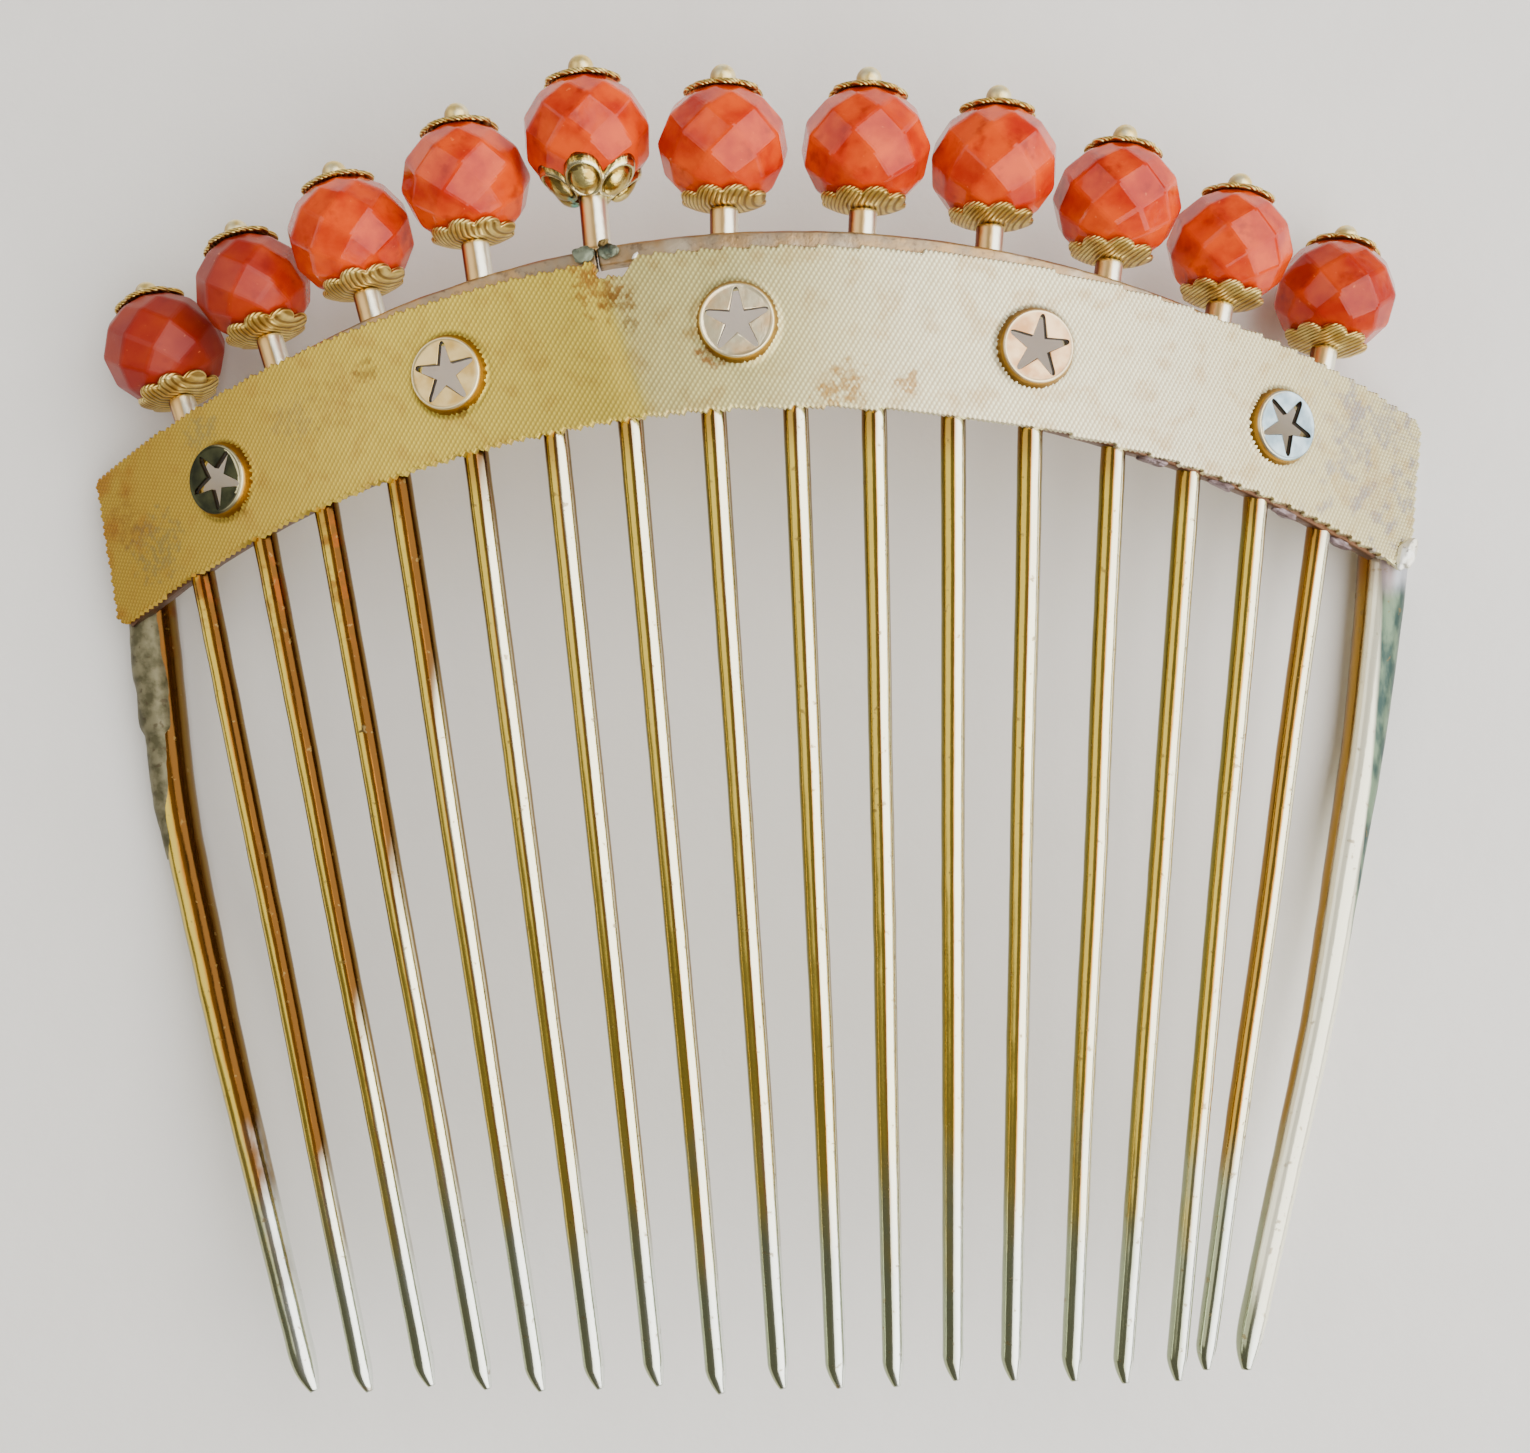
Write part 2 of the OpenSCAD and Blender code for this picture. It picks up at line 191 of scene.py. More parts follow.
# Light. One large soft lamp on the right gives the teeth their white stripe, helped by the
# painted highlight of their finish; a weak warm one fills from the left, and the room is a
# dim grey.
def soft_lamp(name, place, wide, high, watts, colour):
    """A rectangular lamp at this place in metres that faces the comb."""
    data = bpy.data.lights.new(name, "AREA")
    data.shape = "RECTANGLE"
    data.size = wide
    data.size_y = high
    data.energy = watts
    data.color = colour
    lamp = into_scene(name, data)
    lamp.location = place
    lamp.rotation_mode = "QUATERNION"
    lamp.rotation_quaternion = Vector(place).to_track_quat("Z", "Y")


soft_lamp("window_right", (0.27, -0.06, 0.32), 0.9, 0.62, 6.7, (1, 0.98, 0.95))
soft_lamp("fill_left", (-0.35, 0.12, 0.3), 0.4, 0.4, 0.8, (1, 0.97, 0.9))
room = bpy.data.worlds.new("room")
room.use_nodes = True
room_light = room.node_tree.nodes["Background"].inputs
room_light["Color"].default_value = tone(222, 218, 210)
room_light["Strength"].default_value = 0.38
bpy.context.scene.world = room


# Plate. A strip of brass sheet, rolled through a patterned die so that its face is covered
# in small barleycorn grains, then stamped to an arch, pierced, curved and gilt. A piece has
# broken out of its top edge, where a shallow crease runs down to the bottom edge.
BAND_R = 74
BAND_HALF = 44.8
PLATE_HIGH = 9.2
TOP_DROP = 9.5
BOTTOM_DROP = 10.6
END_FLARE = 1.4
PLATE_THICK = 0.5
DISC_R = 4.15 / 2
DISC_RISE = 0.7
DISC_PITCH = 17
DISC_ROWS = [
    dict(shift=0.1, lift=-0.4, turn=40), dict(shift=-0.8, lift=0.1, turn=4),
    dict(shift=-0.7, lift=0.3, turn=0), dict(shift=-0.4, lift=-0.1, turn=-10),
    dict(shift=-1.0, lift=-0.3, turn=34)]
NOTCH = [(-8.8, 1), (-8.7, -1.3), (-7.3, -1.4), (-6.4, -0.5), (-6.2, 1)]
HALF_X = BAND_R * math.sin(BAND_HALF / BAND_R)


def arch_r(drop):
    """Radius of an edge that drops so far from the middle to the ends."""
    return (HALF_X**2 + drop**2) / (2 * drop)


def arch_y(radius, x):
    return np.sqrt(radius**2 - np.square(x)) - radius


TOP_R = arch_r(TOP_DROP)
BOTTOM_R = arch_r(BOTTOM_DROP)


def end_x(y):
    """Half the width of the plate at this height."""
    return HALF_X + END_FLARE * (y + TOP_DROP + PLATE_HIGH / 2) / PLATE_HIGH


def on_band(x, y, radius):
    """Points of the band at this radius, as seen from the front at x and y."""
    return np.stack([x, y, np.sqrt(radius**2 - np.square(x)) - BAND_R], axis=-1)


def bent(arc, y, radius=BAND_R):
    """Points of the flat sheet, bent to the band at this radius."""
    turn = arc / BAND_R
    return np.stack([radius * np.sin(turn), y, radius * np.cos(turn) - BAND_R], axis=-1)


def add_piece(name, points, faces, finish, stands_for="comb", facets=False,
              marks=None, closed=True):
    """Makes a piece from points in millimetres in the band's own frame. It is a part of the
    soldered metal if nothing else is said."""
    mesh = bpy.data.meshes.new(name)
    mesh.from_pydata(((np.asarray(points, float) + LAID) * MM).tolist(), [], faces)
    mesh.polygons.foreach_set("use_smooth", [not facets] * len(mesh.polygons))
    for key, values in (marks or {}).items():
        mesh.attributes.new(key, "FLOAT", "POINT").data.foreach_set(
            "value", np.asarray(values, np.float32))
    mesh.materials.append(finish)
    if closed:
        shape = bmesh.new()
        shape.from_mesh(mesh)
        bmesh.ops.recalc_face_normals(shape, faces=shape.faces)
        shape.to_mesh(mesh)
        shape.free()
    mesh.update()
    piece = into_scene(name, mesh)
    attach(piece, "root")
    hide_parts(stands_for)
    return piece


def seen_at(px, py, radius=BAND_R):
    """The point at this radius of the band that the camera sees at a pixel."""
    dx = px - PHOTO_MIDDLE[0]
    dy = py - PHOTO_MIDDLE[1]
    u = (dx * math.cos(ROLL) - dy * math.sin(ROLL)) / FOCAL_PX
    v = (dx * math.sin(ROLL) + dy * math.cos(ROLL)) / FOCAL_PX
    z = 0
    for _ in range(4):
        x = EYE_SPOT[0] + u * (EYE_HEIGHT - z)
        z = math.sqrt(radius**2 - x * x) - BAND_R
    return x, EYE_SPOT[1] - v * (EYE_HEIGHT - z), z


# Arc and height of the middle of each disc.
DISC_PLACES = []
for k, row in enumerate(DISC_ROWS):
    disc_arc = (k - 2) * DISC_PITCH + row["shift"]
    disc_x = BAND_R * math.sin(disc_arc / BAND_R)
    edges_y = arch_y(TOP_R, disc_x) + arch_y(BOTTOM_R, disc_x) - PLATE_HIGH
    DISC_PLACES.append((disc_arc, edges_y / 2 + row["lift"]))


def coordinate(place, k=0):
    """X, Y or Z of a place or a normal, for a k of 0, 1 or 2."""
    return Paint.node("ShaderNodeSeparateXYZ", inputs={0: place}, output=k)


def marked(name):
    """The value under this name that each point of a piece carries."""
    return Paint.node("ShaderNodeAttribute", {"attribute_name": name}, output="Fac")


def away_from(place, x, y, z):
    """Distance from a point of the band's own frame."""
    return Paint.node(
        "ShaderNodeVectorMath", {"operation": "DISTANCE"},
        {0: place, 1: (x + LAID[0], y + LAID[1], z + LAID[2])}, 1)


def spot(place, px, py, size_mm, ragged):
    """A patch of this radius at a pixel of the photo, for a stain or for painted shade: 1 inside, 0
    outside its ragged edge.
    """
    away = away_from(place, *seen_at(px, py))
    return 1 - (away * (1 / size_mm) + ragged).rise(0.6, 1.2)


# Where the crease runs. The gilding's colour steps up across it: a painted step of light where the
# bent sheet turns towards the lamp. The stops rise from ochre to nearly white as a painted sheen,
# palest right of the middle.
CREASE_PX = ((600, 270), (645, 405))
CREASE_LIT_STEP = 14
GILT_SHEEN_STOPS = [
    (0.0, (220, 186, 70)), (0.22, (252, 230, 96)), (0.36, (254, 234, 100)),
    (0.44, (255, 244, 142)), (0.6, (255, 250, 174)), (0.72, (255, 255, 216)),
    (0.92, (255, 255, 222)), (0.99, (250, 246, 196))]
crease_top = np.array(seen_at(*CREASE_PX[0])[:2])
crease_way = np.array(seen_at(*CREASE_PX[1])[:2]) - crease_top
crease_way /= np.linalg.norm(crease_way)


def gilt(place, along, upward):
    """Colour of the gilding on the plate: ochre on the left, painted paler towards the right of
    the middle as a sheen, with a painted step of light to cream past the crease, and silver
    grey at the right end."""
    past_crease = (upward - crease_top[1] - LAID[1]) * crease_way[0] + (
        crease_top[0] - along) * crease_way[1]
    # A painted step of light across the crease.
    lit_step = past_crease.rise(-0.5, 0.9) * CREASE_LIT_STEP - CREASE_LIT_STEP * 0.3
    drift = along + lit_step + cloud(place, 4, 3) * 5 - 2.5
    # Painted sheen: the colour runs from ochre to nearly white along the band.
    colour = Paint.node("ShaderNodeValToRGB", inputs={0: (drift + 43) * (1 / 86)})
    ramp = colour.socket.node.color_ramp.elements
    while len(ramp) < len(GILT_SHEEN_STOPS):
        ramp.new(1)
    for stop, (share, rgb) in zip(ramp, GILT_SHEEN_STOPS):
        stop.position = share
        stop.color = tone(*rgb)
    mottle = cloud(place, 1.4, 4)
    colour = (mottle.rise(0.5, 0.72) * 0.35).mix(colour, tone(196, 150, 66))
    orange = (cloud(place, 2.2, 4) + (0 - along - 36) * 0.05).rise(0.62, 0.9)
    colour = (orange * 0.6).mix(colour, tone(190, 120, 44))
    at_end = (along + cloud(place, 3, 4) * 8 - 4).rise(31, 38)
    bluish = cloud(place, 1.0, 4).rise(0.5, 0.66)
    return (at_end * bluish * 0.75).mix(colour, tone(170, 176, 188))


plate_finish, place = new_finish("grained_gilt")
colour = gilt(place, coordinate(place), coordinate(place, 1))
# Of each patch on the plate: its pixel, radius, strength and tone. Most are stains; the five at
# (236, 500), (462, 402), (697, 330), (711, 354) and (1012, 368) are painted shade on the collars
# round the first four discs.
STAINS_AND_SHADE = [
    (152, 545, 2.2, 0.4, (104, 132, 112)), (197, 432, 1.3, 0.4, (120, 140, 118)),
    (120, 520, 1.6, 0.4, (150, 110, 60)), (365, 370, 0.8, 0.5, (120, 88, 40)),
    (335, 400, 1.8, 0.25, (170, 128, 70)), (290, 420, 1.6, 0.3, (150, 140, 110)),
    (846, 386, 1.3, 0.75, (176, 132, 54)), (830, 398, 0.9, 0.6, (196, 156, 80)),
    (908, 382, 0.7, 0.7, (178, 132, 60)), (600, 285, 1.5, 0.7, (168, 108, 38)),
    (618, 305, 1.0, 0.6, (130, 78, 30)), (632, 324, 0.6, 0.6, (120, 96, 60)),
    (585, 268, 1.0, 0.6, (176, 118, 44)), (711, 354, 0.8, 0.8, (150, 84, 24)),
    (697, 330, 0.7, 0.5, (180, 138, 48)), (1012, 368, 0.7, 0.5, (176, 120, 60)),
    (236, 500, 0.8, 0.7, (96, 50, 20)), (462, 402, 0.8, 0.6, (120, 76, 24)),
    (1352, 440, 1.6, 0.5, (160, 166, 178)), (1368, 490, 1.8, 0.4, (206, 180, 140)),
    (1385, 425, 1.4, 0.5, (164, 172, 186))]
ragged = cloud(place, 0.6, 5) * 2.6 - 1.3
speckle = cloud(place, 0.45, 4).rise(0.36, 0.58)
# Stains, and patches of painted shade beside the discs.
for px, py, size_mm, strength, patch_tone in STAINS_AND_SHADE:
    colour = (spot(place, px, py, size_mm, ragged) * speckle * strength).mix(colour, tone(*patch_tone))
# Painted shade: darker brown in the grain's valleys, on the collars round the discs and on the cut
# edges.
colour = (marked("hollow") * 0.85).mix(colour, tone(128, 84, 26))
set_finish(
    colour, 0.75, cloud(place, 0.8, 3) * 0.2 + 0.3, cloud(place, 0.12, 2), 0.006)

# The grains stand in rows that rise to the right; every second row is half a grain on.
ROW_TURN = math.radians(57)
ROW_WIDE = 0.27
GRAIN_LONG = 0.25
GRAIN_HIGH = 0.16
COLLAR_R = 2.62
COLLAR_HIGH = 0.34
FACE_LIFT = -0.07
SHEET_FRONT = BAND_R + FACE_LIFT
SHEET_BACK = BAND_R - PLATE_THICK
SADDLE = 0.35
CREASE_HIGH = 0.34
CREASE_STEEP = 0.9
CREASE_SLOPE = 5.5
CUT_LOW_LEFT = 0.6
CUT_LOW_RIGHT = 1.3
CUT_TOP_RIGHT = 0.6
row_way = np.array([math.cos(ROW_TURN), math.sin(ROW_TURN)])
cross_way = np.array([-row_way[1], row_way[0]])
LATTICE_HALF = 52
LATTICE_Y = -8
i_most = int(LATTICE_HALF / GRAIN_LONG * 2)
j_most = int(LATTICE_HALF / ROW_WIDE) * 2
i_all = np.arange(-i_most, i_most + 1)
j_all = np.arange(-j_most, j_most + 1)
grain_i, grain_j = np.meshgrid(i_all, j_all, indexing="ij")
flat = (grain_i[..., None] * GRAIN_LONG / 2) * row_way + (
    grain_j[..., None] * ROW_WIDE / 2) * cross_way
flat[..., 1] += LATTICE_Y
on_ridge = grain_j % 2 == 0
on_peak = (grain_i + (grain_j // 2) % 2) % 2 == 0
grain = np.where(on_ridge, np.where(on_peak, 1, SADDLE), 0.0)
arc = flat[..., 0]
high = flat[..., 1]
from_disc = np.min([
    np.hypot(arc - disc_arc, high - disc_y) for disc_arc, disc_y in DISC_PLACES], axis=0)
climb = np.clip((COLLAR_R - from_disc) / (COLLAR_R - DISC_R), 0, 1)
lift = COLLAR_HIGH * climb**1.4
past = (high - crease_top[1]) * crease_way[0] - (arc - crease_top[0]) * crease_way[1]
lift += CREASE_HIGH * np.where(
    past < 0, np.exp(-((past / CREASE_STEEP) ** 2)),
    np.clip(1 - past / CREASE_SLOPE, 0, 1) ** 1.3)
seen_x = BAND_R * np.sin(np.clip(arc / BAND_R, -1.2, 1.2))
points = bent(arc, high, SHEET_FRONT + grain * GRAIN_HIGH + lift).reshape(-1, 3)


def in_notch(x, y):
    """True inside the piece that has broken out of the top edge."""
    inside = np.zeros(np.shape(x), bool)
    for (x_a, y_a), (x_b, y_b) in zip(NOTCH, NOTCH[1:] + NOTCH[:1]):
        if y_a == y_b:
            continue
        between = (y_a > y) != (y_b > y)
        inside ^= between & (x < (x_b - x_a) * (y - y_a) / (y_b - y_a) + x_a)
    return inside


def in_plate(x, y):
    """True inside the outline of the plate, whose corners are worn except one."""
    limit = np.clip(x, -HALF_X - 1, HALF_X + 1)
    from_top = arch_y(TOP_R, limit) - y
    from_low = y - arch_y(BOTTOM_R, limit) + PLATE_HIGH
    from_left = end_x(y) + x
    from_right = end_x(y) - x
    return (
        (from_top > 0) & (from_low > 0) & (from_left > 0) & (from_right > 0)
        & (from_low + from_left > CUT_LOW_LEFT) & (from_low + from_right > CUT_LOW_RIGHT)
        & (from_top + from_right > CUT_TOP_RIGHT) & ~in_notch(x, y))


# The sheet is cut through whole grains, so a cell is kept where the peak that it lies on is.
peak_j = grain_j[:-1, :-1] + grain_j[:-1, :-1] % 2
peak_i = grain_i[:-1, :-1] + (grain_i[:-1, :-1] + (peak_j // 2) % 2) % 2
peak_row = peak_i - i_all[0]
peak_column = peak_j - j_all[0]
kept = in_plate(seen_x[peak_row, peak_column], high[peak_row, peak_column])
kept &= from_disc[peak_row, peak_column] > DISC_R + 0.06
columns = grain.shape[1]
rows_kept, columns_kept = np.nonzero(kept)
corner = rows_kept * columns + columns_kept
quads = np.stack([corner, corner + columns, corner + columns + 1, corner + 1], axis=-1)
used = np.unique(quads)
renumber = np.zeros(grain.size, int)
renumber[used] = np.arange(len(used))
# Painted shade: strongest in the grain's valleys, a little on the disc collars.
hollow_shade = (1 - grain) * 0.8 + 0.1 * climb

# Its cut edges go straight down to the back of the sheet.
starts = quads.ravel()
ends = np.roll(quads, -1, axis=1).ravel()
is_edge = ~np.isin(starts * grain.size + ends, ends * grain.size + starts)
edge_spots, edge_pairs = np.unique(
    np.stack([starts[is_edge], ends[is_edge]], -1), return_inverse=True)
edge_top = points[edge_spots]
edge_back = bent(arc.ravel()[edge_spots], edge_top[:, 1], SHEET_BACK)
top_at = len(used)
back_at = top_at + len(edge_spots)
walls = [
    (b + top_at, a + top_at, a + back_at, b + back_at)
    for a, b in edge_pairs.reshape(-1, 2).tolist()]
grain_piece = add_piece(
    "plate_grain", np.concatenate([points[used], edge_top, edge_back]),
    renumber[quads].tolist() + walls, plate_finish, closed=False,
    marks={"hollow": np.append(hollow_shade.ravel()[used], [0.4] * 2 * len(edge_spots))})
grain_piece.data.polygons.foreach_set(
    "use_smooth", [True] * len(quads) + [False] * len(walls))


def even_angles(count):
    """So many even angles of a whole turn."""
    return np.linspace(0, math.tau, count, endpoint=False)


# The sheet itself lies under the grains, with the same holes and the same broken edge.
HOLE_R = DISC_R - 0.15
SHEET_IN = 0.12
EDGE_POINTS = 131
top_end = end_x(-TOP_DROP) - SHEET_IN
low_end = end_x(-PLATE_HIGH - BOTTOM_DROP) - SHEET_IN
top_x = np.linspace(-top_end, top_end, EDGE_POINTS)
bottom_x = np.linspace(-low_end, low_end, EDGE_POINTS)
top_y = arch_y(TOP_R, np.clip(top_x, -HALF_X - 0.7, HALF_X + 0.7)) - SHEET_IN
bottom_y = arch_y(BOTTOM_R, bottom_x) - PLATE_HIGH + SHEET_IN
top_x[-1] -= CUT_TOP_RIGHT / 2
bottom_x[[0, -1]] += CUT_LOW_LEFT / 2, -CUT_LOW_RIGHT / 2
loops = [np.concatenate([
    np.stack([top_x, top_y], -1), np.stack([bottom_x, bottom_y], -1)[::-1]])]
for disc_arc, disc_y in DISC_PLACES:
    turn = even_angles(40)
    loops.append(bent(disc_arc + HOLE_R * np.cos(turn), disc_y + HOLE_R * np.sin(turn))[:, :2])
loops.append(np.array(NOTCH))
seeds = []
edges = []
for loop in loops:
    start = len(seeds)
    seeds += [Vector(point) for point in loop]
    edges += [(start + k, start + (k + 1) % len(loop)) for k in range(len(loop))]
edges += [(k, 2 * EDGE_POINTS - 1 - k) for k in range(1, EDGE_POINTS - 1)]
flat_points, _, flat_faces, *_ = geometry.delaunay_2d_cdt(seeds, edges, [], 0, 1e-5)
flat_points = np.array([point[:] for point in flat_points])


def in_sheet(face):
    x, y = flat_points[list(face)].mean(axis=0)
    here = BAND_R * math.asin(x / BAND_R)
    open_here = any(
        math.hypot(here - disc_arc, y - disc_y) < HOLE_R * 0.98 for disc_arc, disc_y in DISC_PLACES)
    return bool(in_plate(x, y)) and not open_here


sheet_faces = [tuple(face) for face in flat_faces if in_sheet(face)]
count = len(flat_points)
front = on_band(*flat_points.T, SHEET_FRONT)
rear = on_band(*flat_points.T, SHEET_BACK)
ways = {}
for face in sheet_faces:
    for a, b in zip(face, face[1:] + face[:1]):
        ways[(a, b)] = face
rims = [(a, b, b + count, a + count) for a, b in ways if (b, a) not in ways]
add_piece(
    "plate_sheet", np.concatenate([front, rear]),
    sheet_faces + [tuple(v + count for v in face[::-1]) for face in sheet_faces] + rims,
    plate_finish, facets=True)


# Rails. Two drawn strips of square section, bent to the arches and soldered to the back of
# the plate. The upper one shows over the plate's edge, and is cracked through below the
# flower; the lower one hangs out a little on the right. Both are dull and brown with age;
# the lower one and the broken ends are painted darker still, as painted shade.
RAIL_WIDE = 1.1
RAIL_THICK = 1.2
RAIL_LIP = 1.0
RAIL_TOP_DROP = TOP_DROP + RAIL_LIP + 1.2
RAIL_LOW_Y = -PLATE_HIGH + 0.4
RAIL_LOW_DROP = BOTTOM_DROP + 0.4 + 0.5
RAIL_HALF = HALF_X - 0.5
RAIL_R = SHEET_BACK + 0.1
RAIL_TOP_R = arch_r(RAIL_TOP_DROP)
RAIL_LOW_R = arch_r(RAIL_LOW_DROP)
RAIL_LOW_ENDS = (0.9 - RAIL_HALF, RAIL_HALF - 2.7)
RAIL_HANG = 0.35
RAIL_STEPS = 240
RAIL_CORNER_R = 0.22
CRACK_WIDE = 0.12

rail_finish, place = new_finish("worn_rail_metal")
worn = cloud(place, 1.4, 5)
colour = worn.rise(0.3, 0.7).mix(tone(180, 146, 102), tone(158, 142, 120))
colour = (cloud(place, 0.4, 4).rise(0.56, 0.7) * 0.6).mix(colour, tone(112, 96, 80))
colour = (cloud(place, 2.6, 3).rise(0.55, 0.7) * 0.5).mix(colour, tone(208, 194, 170))
# The lower rail is dark red-brown: brown with age, and painted shade under the plate's lower edge.
rust_and_shade = cloud(place, 0.9, 4).mix(tone(58, 26, 16), tone(108, 68, 46))
colour = (marked("low") * 0.85).mix(colour, rust_and_shade)
# Painted shade: the ring at the break is nearly black.
colour = marked("crack").mix(colour, tone(22, 20, 18))
set_finish(colour, 0.9, worn * 0.3 + 0.28, cloud(place, 0.25, 4), 0.03)


def grid_faces(rows, columns, ring=False):
    """Four-sided faces of a grid of points whose rows are closed. In a ring its columns
    are closed too."""
    return [
        (i * columns + j, i * columns + (j + 1) % columns,
         (i + 1) % rows * columns + (j + 1) % columns, (i + 1) % rows * columns + j)
        for i in range(rows if ring else rows - 1) for j in range(columns)]


def tube_faces(rings, sides):
    """Faces of a closed tube of rings, with a flat face at each end."""
    return grid_faces(rings, sides) + [
        tuple(range(sides)), tuple(range((rings - 1) * sides, rings * sides))]


def rail(name, centre_y, middle_r, ends, low=0, crack=None):
    """A rail whose middle line is an arc of this radius about a point on the centre line.
    Crack is the ring at which it is broken off."""
    deep = RAIL_THICK + 0.1
    sides = 20
    turn = even_angles(sides) + math.pi / sides
    side = np.sign(np.cos(turn)) * (RAIL_WIDE / 2 - RAIL_CORNER_R) + RAIL_CORNER_R * np.cos(turn)
    rise = np.sign(np.sin(turn)) * (deep / 2 - RAIL_CORNER_R) + RAIL_CORNER_R * np.sin(turn)
    rings = []
    for value in np.linspace(*ends, RAIL_STEPS):
        angle = math.asin(value / middle_r)
        way = np.array([math.sin(angle), math.cos(angle)])
        rough = 0.05 * noise.noise(Vector((value * 0.9, centre_y, 0)))
        seen = np.array([0, centre_y]) + way * (middle_r + side[:, None] * (1 + rough))
        seen[:, 1] -= low * RAIL_HANG * np.interp(value, [12, 22, 35, 40], [0, 1, 0.8, 0])
        radius = RAIL_R - deep / 2 + rise * (1 + rough)
        rings.append(on_band(*seen.T, radius))
    # The ring at the break is marked for its painted shade.
    dark = np.zeros((RAIL_STEPS, sides))
    if crack is not None:
        dark[crack] = 1
    add_piece(
        name, np.concatenate(rings), tube_faces(RAIL_STEPS, sides), rail_finish,
        marks={"low": np.full(dark.size, low), "crack": dark.ravel()})


crack_x = seen_at(596, 252)[0]
top_arc = (RAIL_LIP - RAIL_TOP_R, RAIL_TOP_R - RAIL_WIDE / 2)
rail("rail_top_left", *top_arc, (-RAIL_HALF, crack_x - CRACK_WIDE / 2), crack=-1)
rail("rail_top_right", *top_arc, (crack_x + CRACK_WIDE / 2, RAIL_HALF), crack=0)
rail("rail_bottom", RAIL_LOW_Y - RAIL_LOW_R, RAIL_LOW_R + RAIL_WIDE / 2, RAIL_LOW_ENDS, low=1)


# Teeth. Sixteen drawn brass wires and two thicker end ones, soldered to the lower rail,
# ground to a point from the left and gilt. The gilding is worn to silver at the tips, and
# the right end tooth is worn to silver with a teal crust. Their finish paints a highlight on
# the side that faces the lamp, and shade at their edges and under the rail.
TEETH = 18
TOOTH_D = 1.5
TIP_D = 1.25
TOOTH_PITCH = 4.95
TIP_SPAN = 60
TIP_DEPTH = 66.2
END_TOOTH_D = 2.7
END_TIP_D = 1.6
WIRE_SIDES = 28
WIRE_STEPS = 110
POINT_STEPS = 16

# Of each inner tooth: how far its top and its tip stand to the right of an even row, and
# how much lower its tip is.
TOOTH_ROWS = [
    (-0.1, 0.4, 0.6), (0.2, 0.9, 0), (0, 0.9, 0), (0.2, 0.7, 0), (0.4, 0.7, -0.2),
    (0.5, 0.7, -0.4), (0.1, 0.8, 0.1), (0.1, 0.9, -0.1), (0, 0.7, 0), (-0.3, 0.5, 0.1),
    (-0.5, 0.5, 0), (-0.7, 0.4, 0.3), (-0.3, 0.5, 0.7), (-0.1, 0.1, 1.2), (-0.1, -0.1, 1.5),
    (0, -1.8, 1.1)]

# Of each end tooth: where its top, its bends and its tip stand, with the radius of two bends.
END_ROWS = [
    dict(top=-40, shoulder=-39.46, shoulder_r=1.31, knee=-38.6, knee_r=1.24, bend=-35,
         tip=-29.8, lower=0.9),
    dict(top=40.7, shoulder=40.1, shoulder_r=1.57, knee=38.3, knee_r=1.33, bend=33.9,
         tip=27.2, lower=1.5)]
END_TOP_Y = -10.2
SHOULDER_Y = -18.4
KNEE_Y = -31
BEND_Y = -47
BEND_R = 0.38 * END_TOOTH_D
CLEAR = 1.03


def facing_right():
    """1 where a surface faces right, 0 where it faces up and -1 where it faces left."""
    return coordinate(Paint.node("ShaderNodeNewGeometry", output="Normal"))


tooth_finish, place = new_finish("gilt_wire")
x_here = coordinate(place)
y_here = coordinate(place, 1)
facing = facing_right()
streak = cloud(place, 1.2, 4, (1, 0.12, 1))
colour = streak.mix(tone(186, 158, 58), tone(214, 190, 86))
# Painted reflection: an orange-brown line down each tooth where it turns towards the lamp.
colour = (facing + streak * 0.5 - 0.25).rise(-0.25, 0.05).mix(colour, tone(186, 122, 46))
# Painted shade: on the upper left teeth, and on the left end tooth through its shaded mark, the
# right side gets a dark brown in place of the highlight.
warm = (0 - x_here - 24 + y_here * 0.3 + streak * 3 - 1.5).rise(-5.5, -2.5)
warm = warm.most(marked("shaded") * (y_here + 31).rise(-3, 4))
# Painted highlight: the side that faces right is painted nearly white.
pale = warm.mix(tone(253, 247, 212), tone(88, 58, 24))
colour = (facing + streak * 0.3 - 0.15 - warm * 0.12).rise(-0.05, 0.15).mix(colour, pale)
# Painted shade: darker olive on the edge that faces left, darker brown on the right edge.
colour = (0 - facing).rise(0.66, 0.86).mix(colour, tone(124, 114, 50))
colour = facing.rise(0.8, 0.94).mix(colour, tone(132, 104, 54))
# Teeth 17 and 18 are browner on the side that faces left.
browner_left_band = (x_here - y_here * 0.2 - 31.65).rise(-0.1, 0.1) * (0 - facing).rise(-0.05, 0.1)
colour = (browner_left_band * 0.5).mix(colour, tone(150, 94, 40))
# The tips are worn to silver; the silver is painted darker on the left and paler on the right, as
# painted shade and highlight.
tips = (0 - y_here - 24 + cloud(place, 2.5, 4, (1, 0.4, 1)) * 22 - 11).rise(-2, 9)
silver = (facing + streak * 0.6 - 0.3).rise(-0.3, 0.4).mix(tone(150, 160, 132), tone(238, 244, 240))
colour = (tips * 0.9).mix(colour, silver)
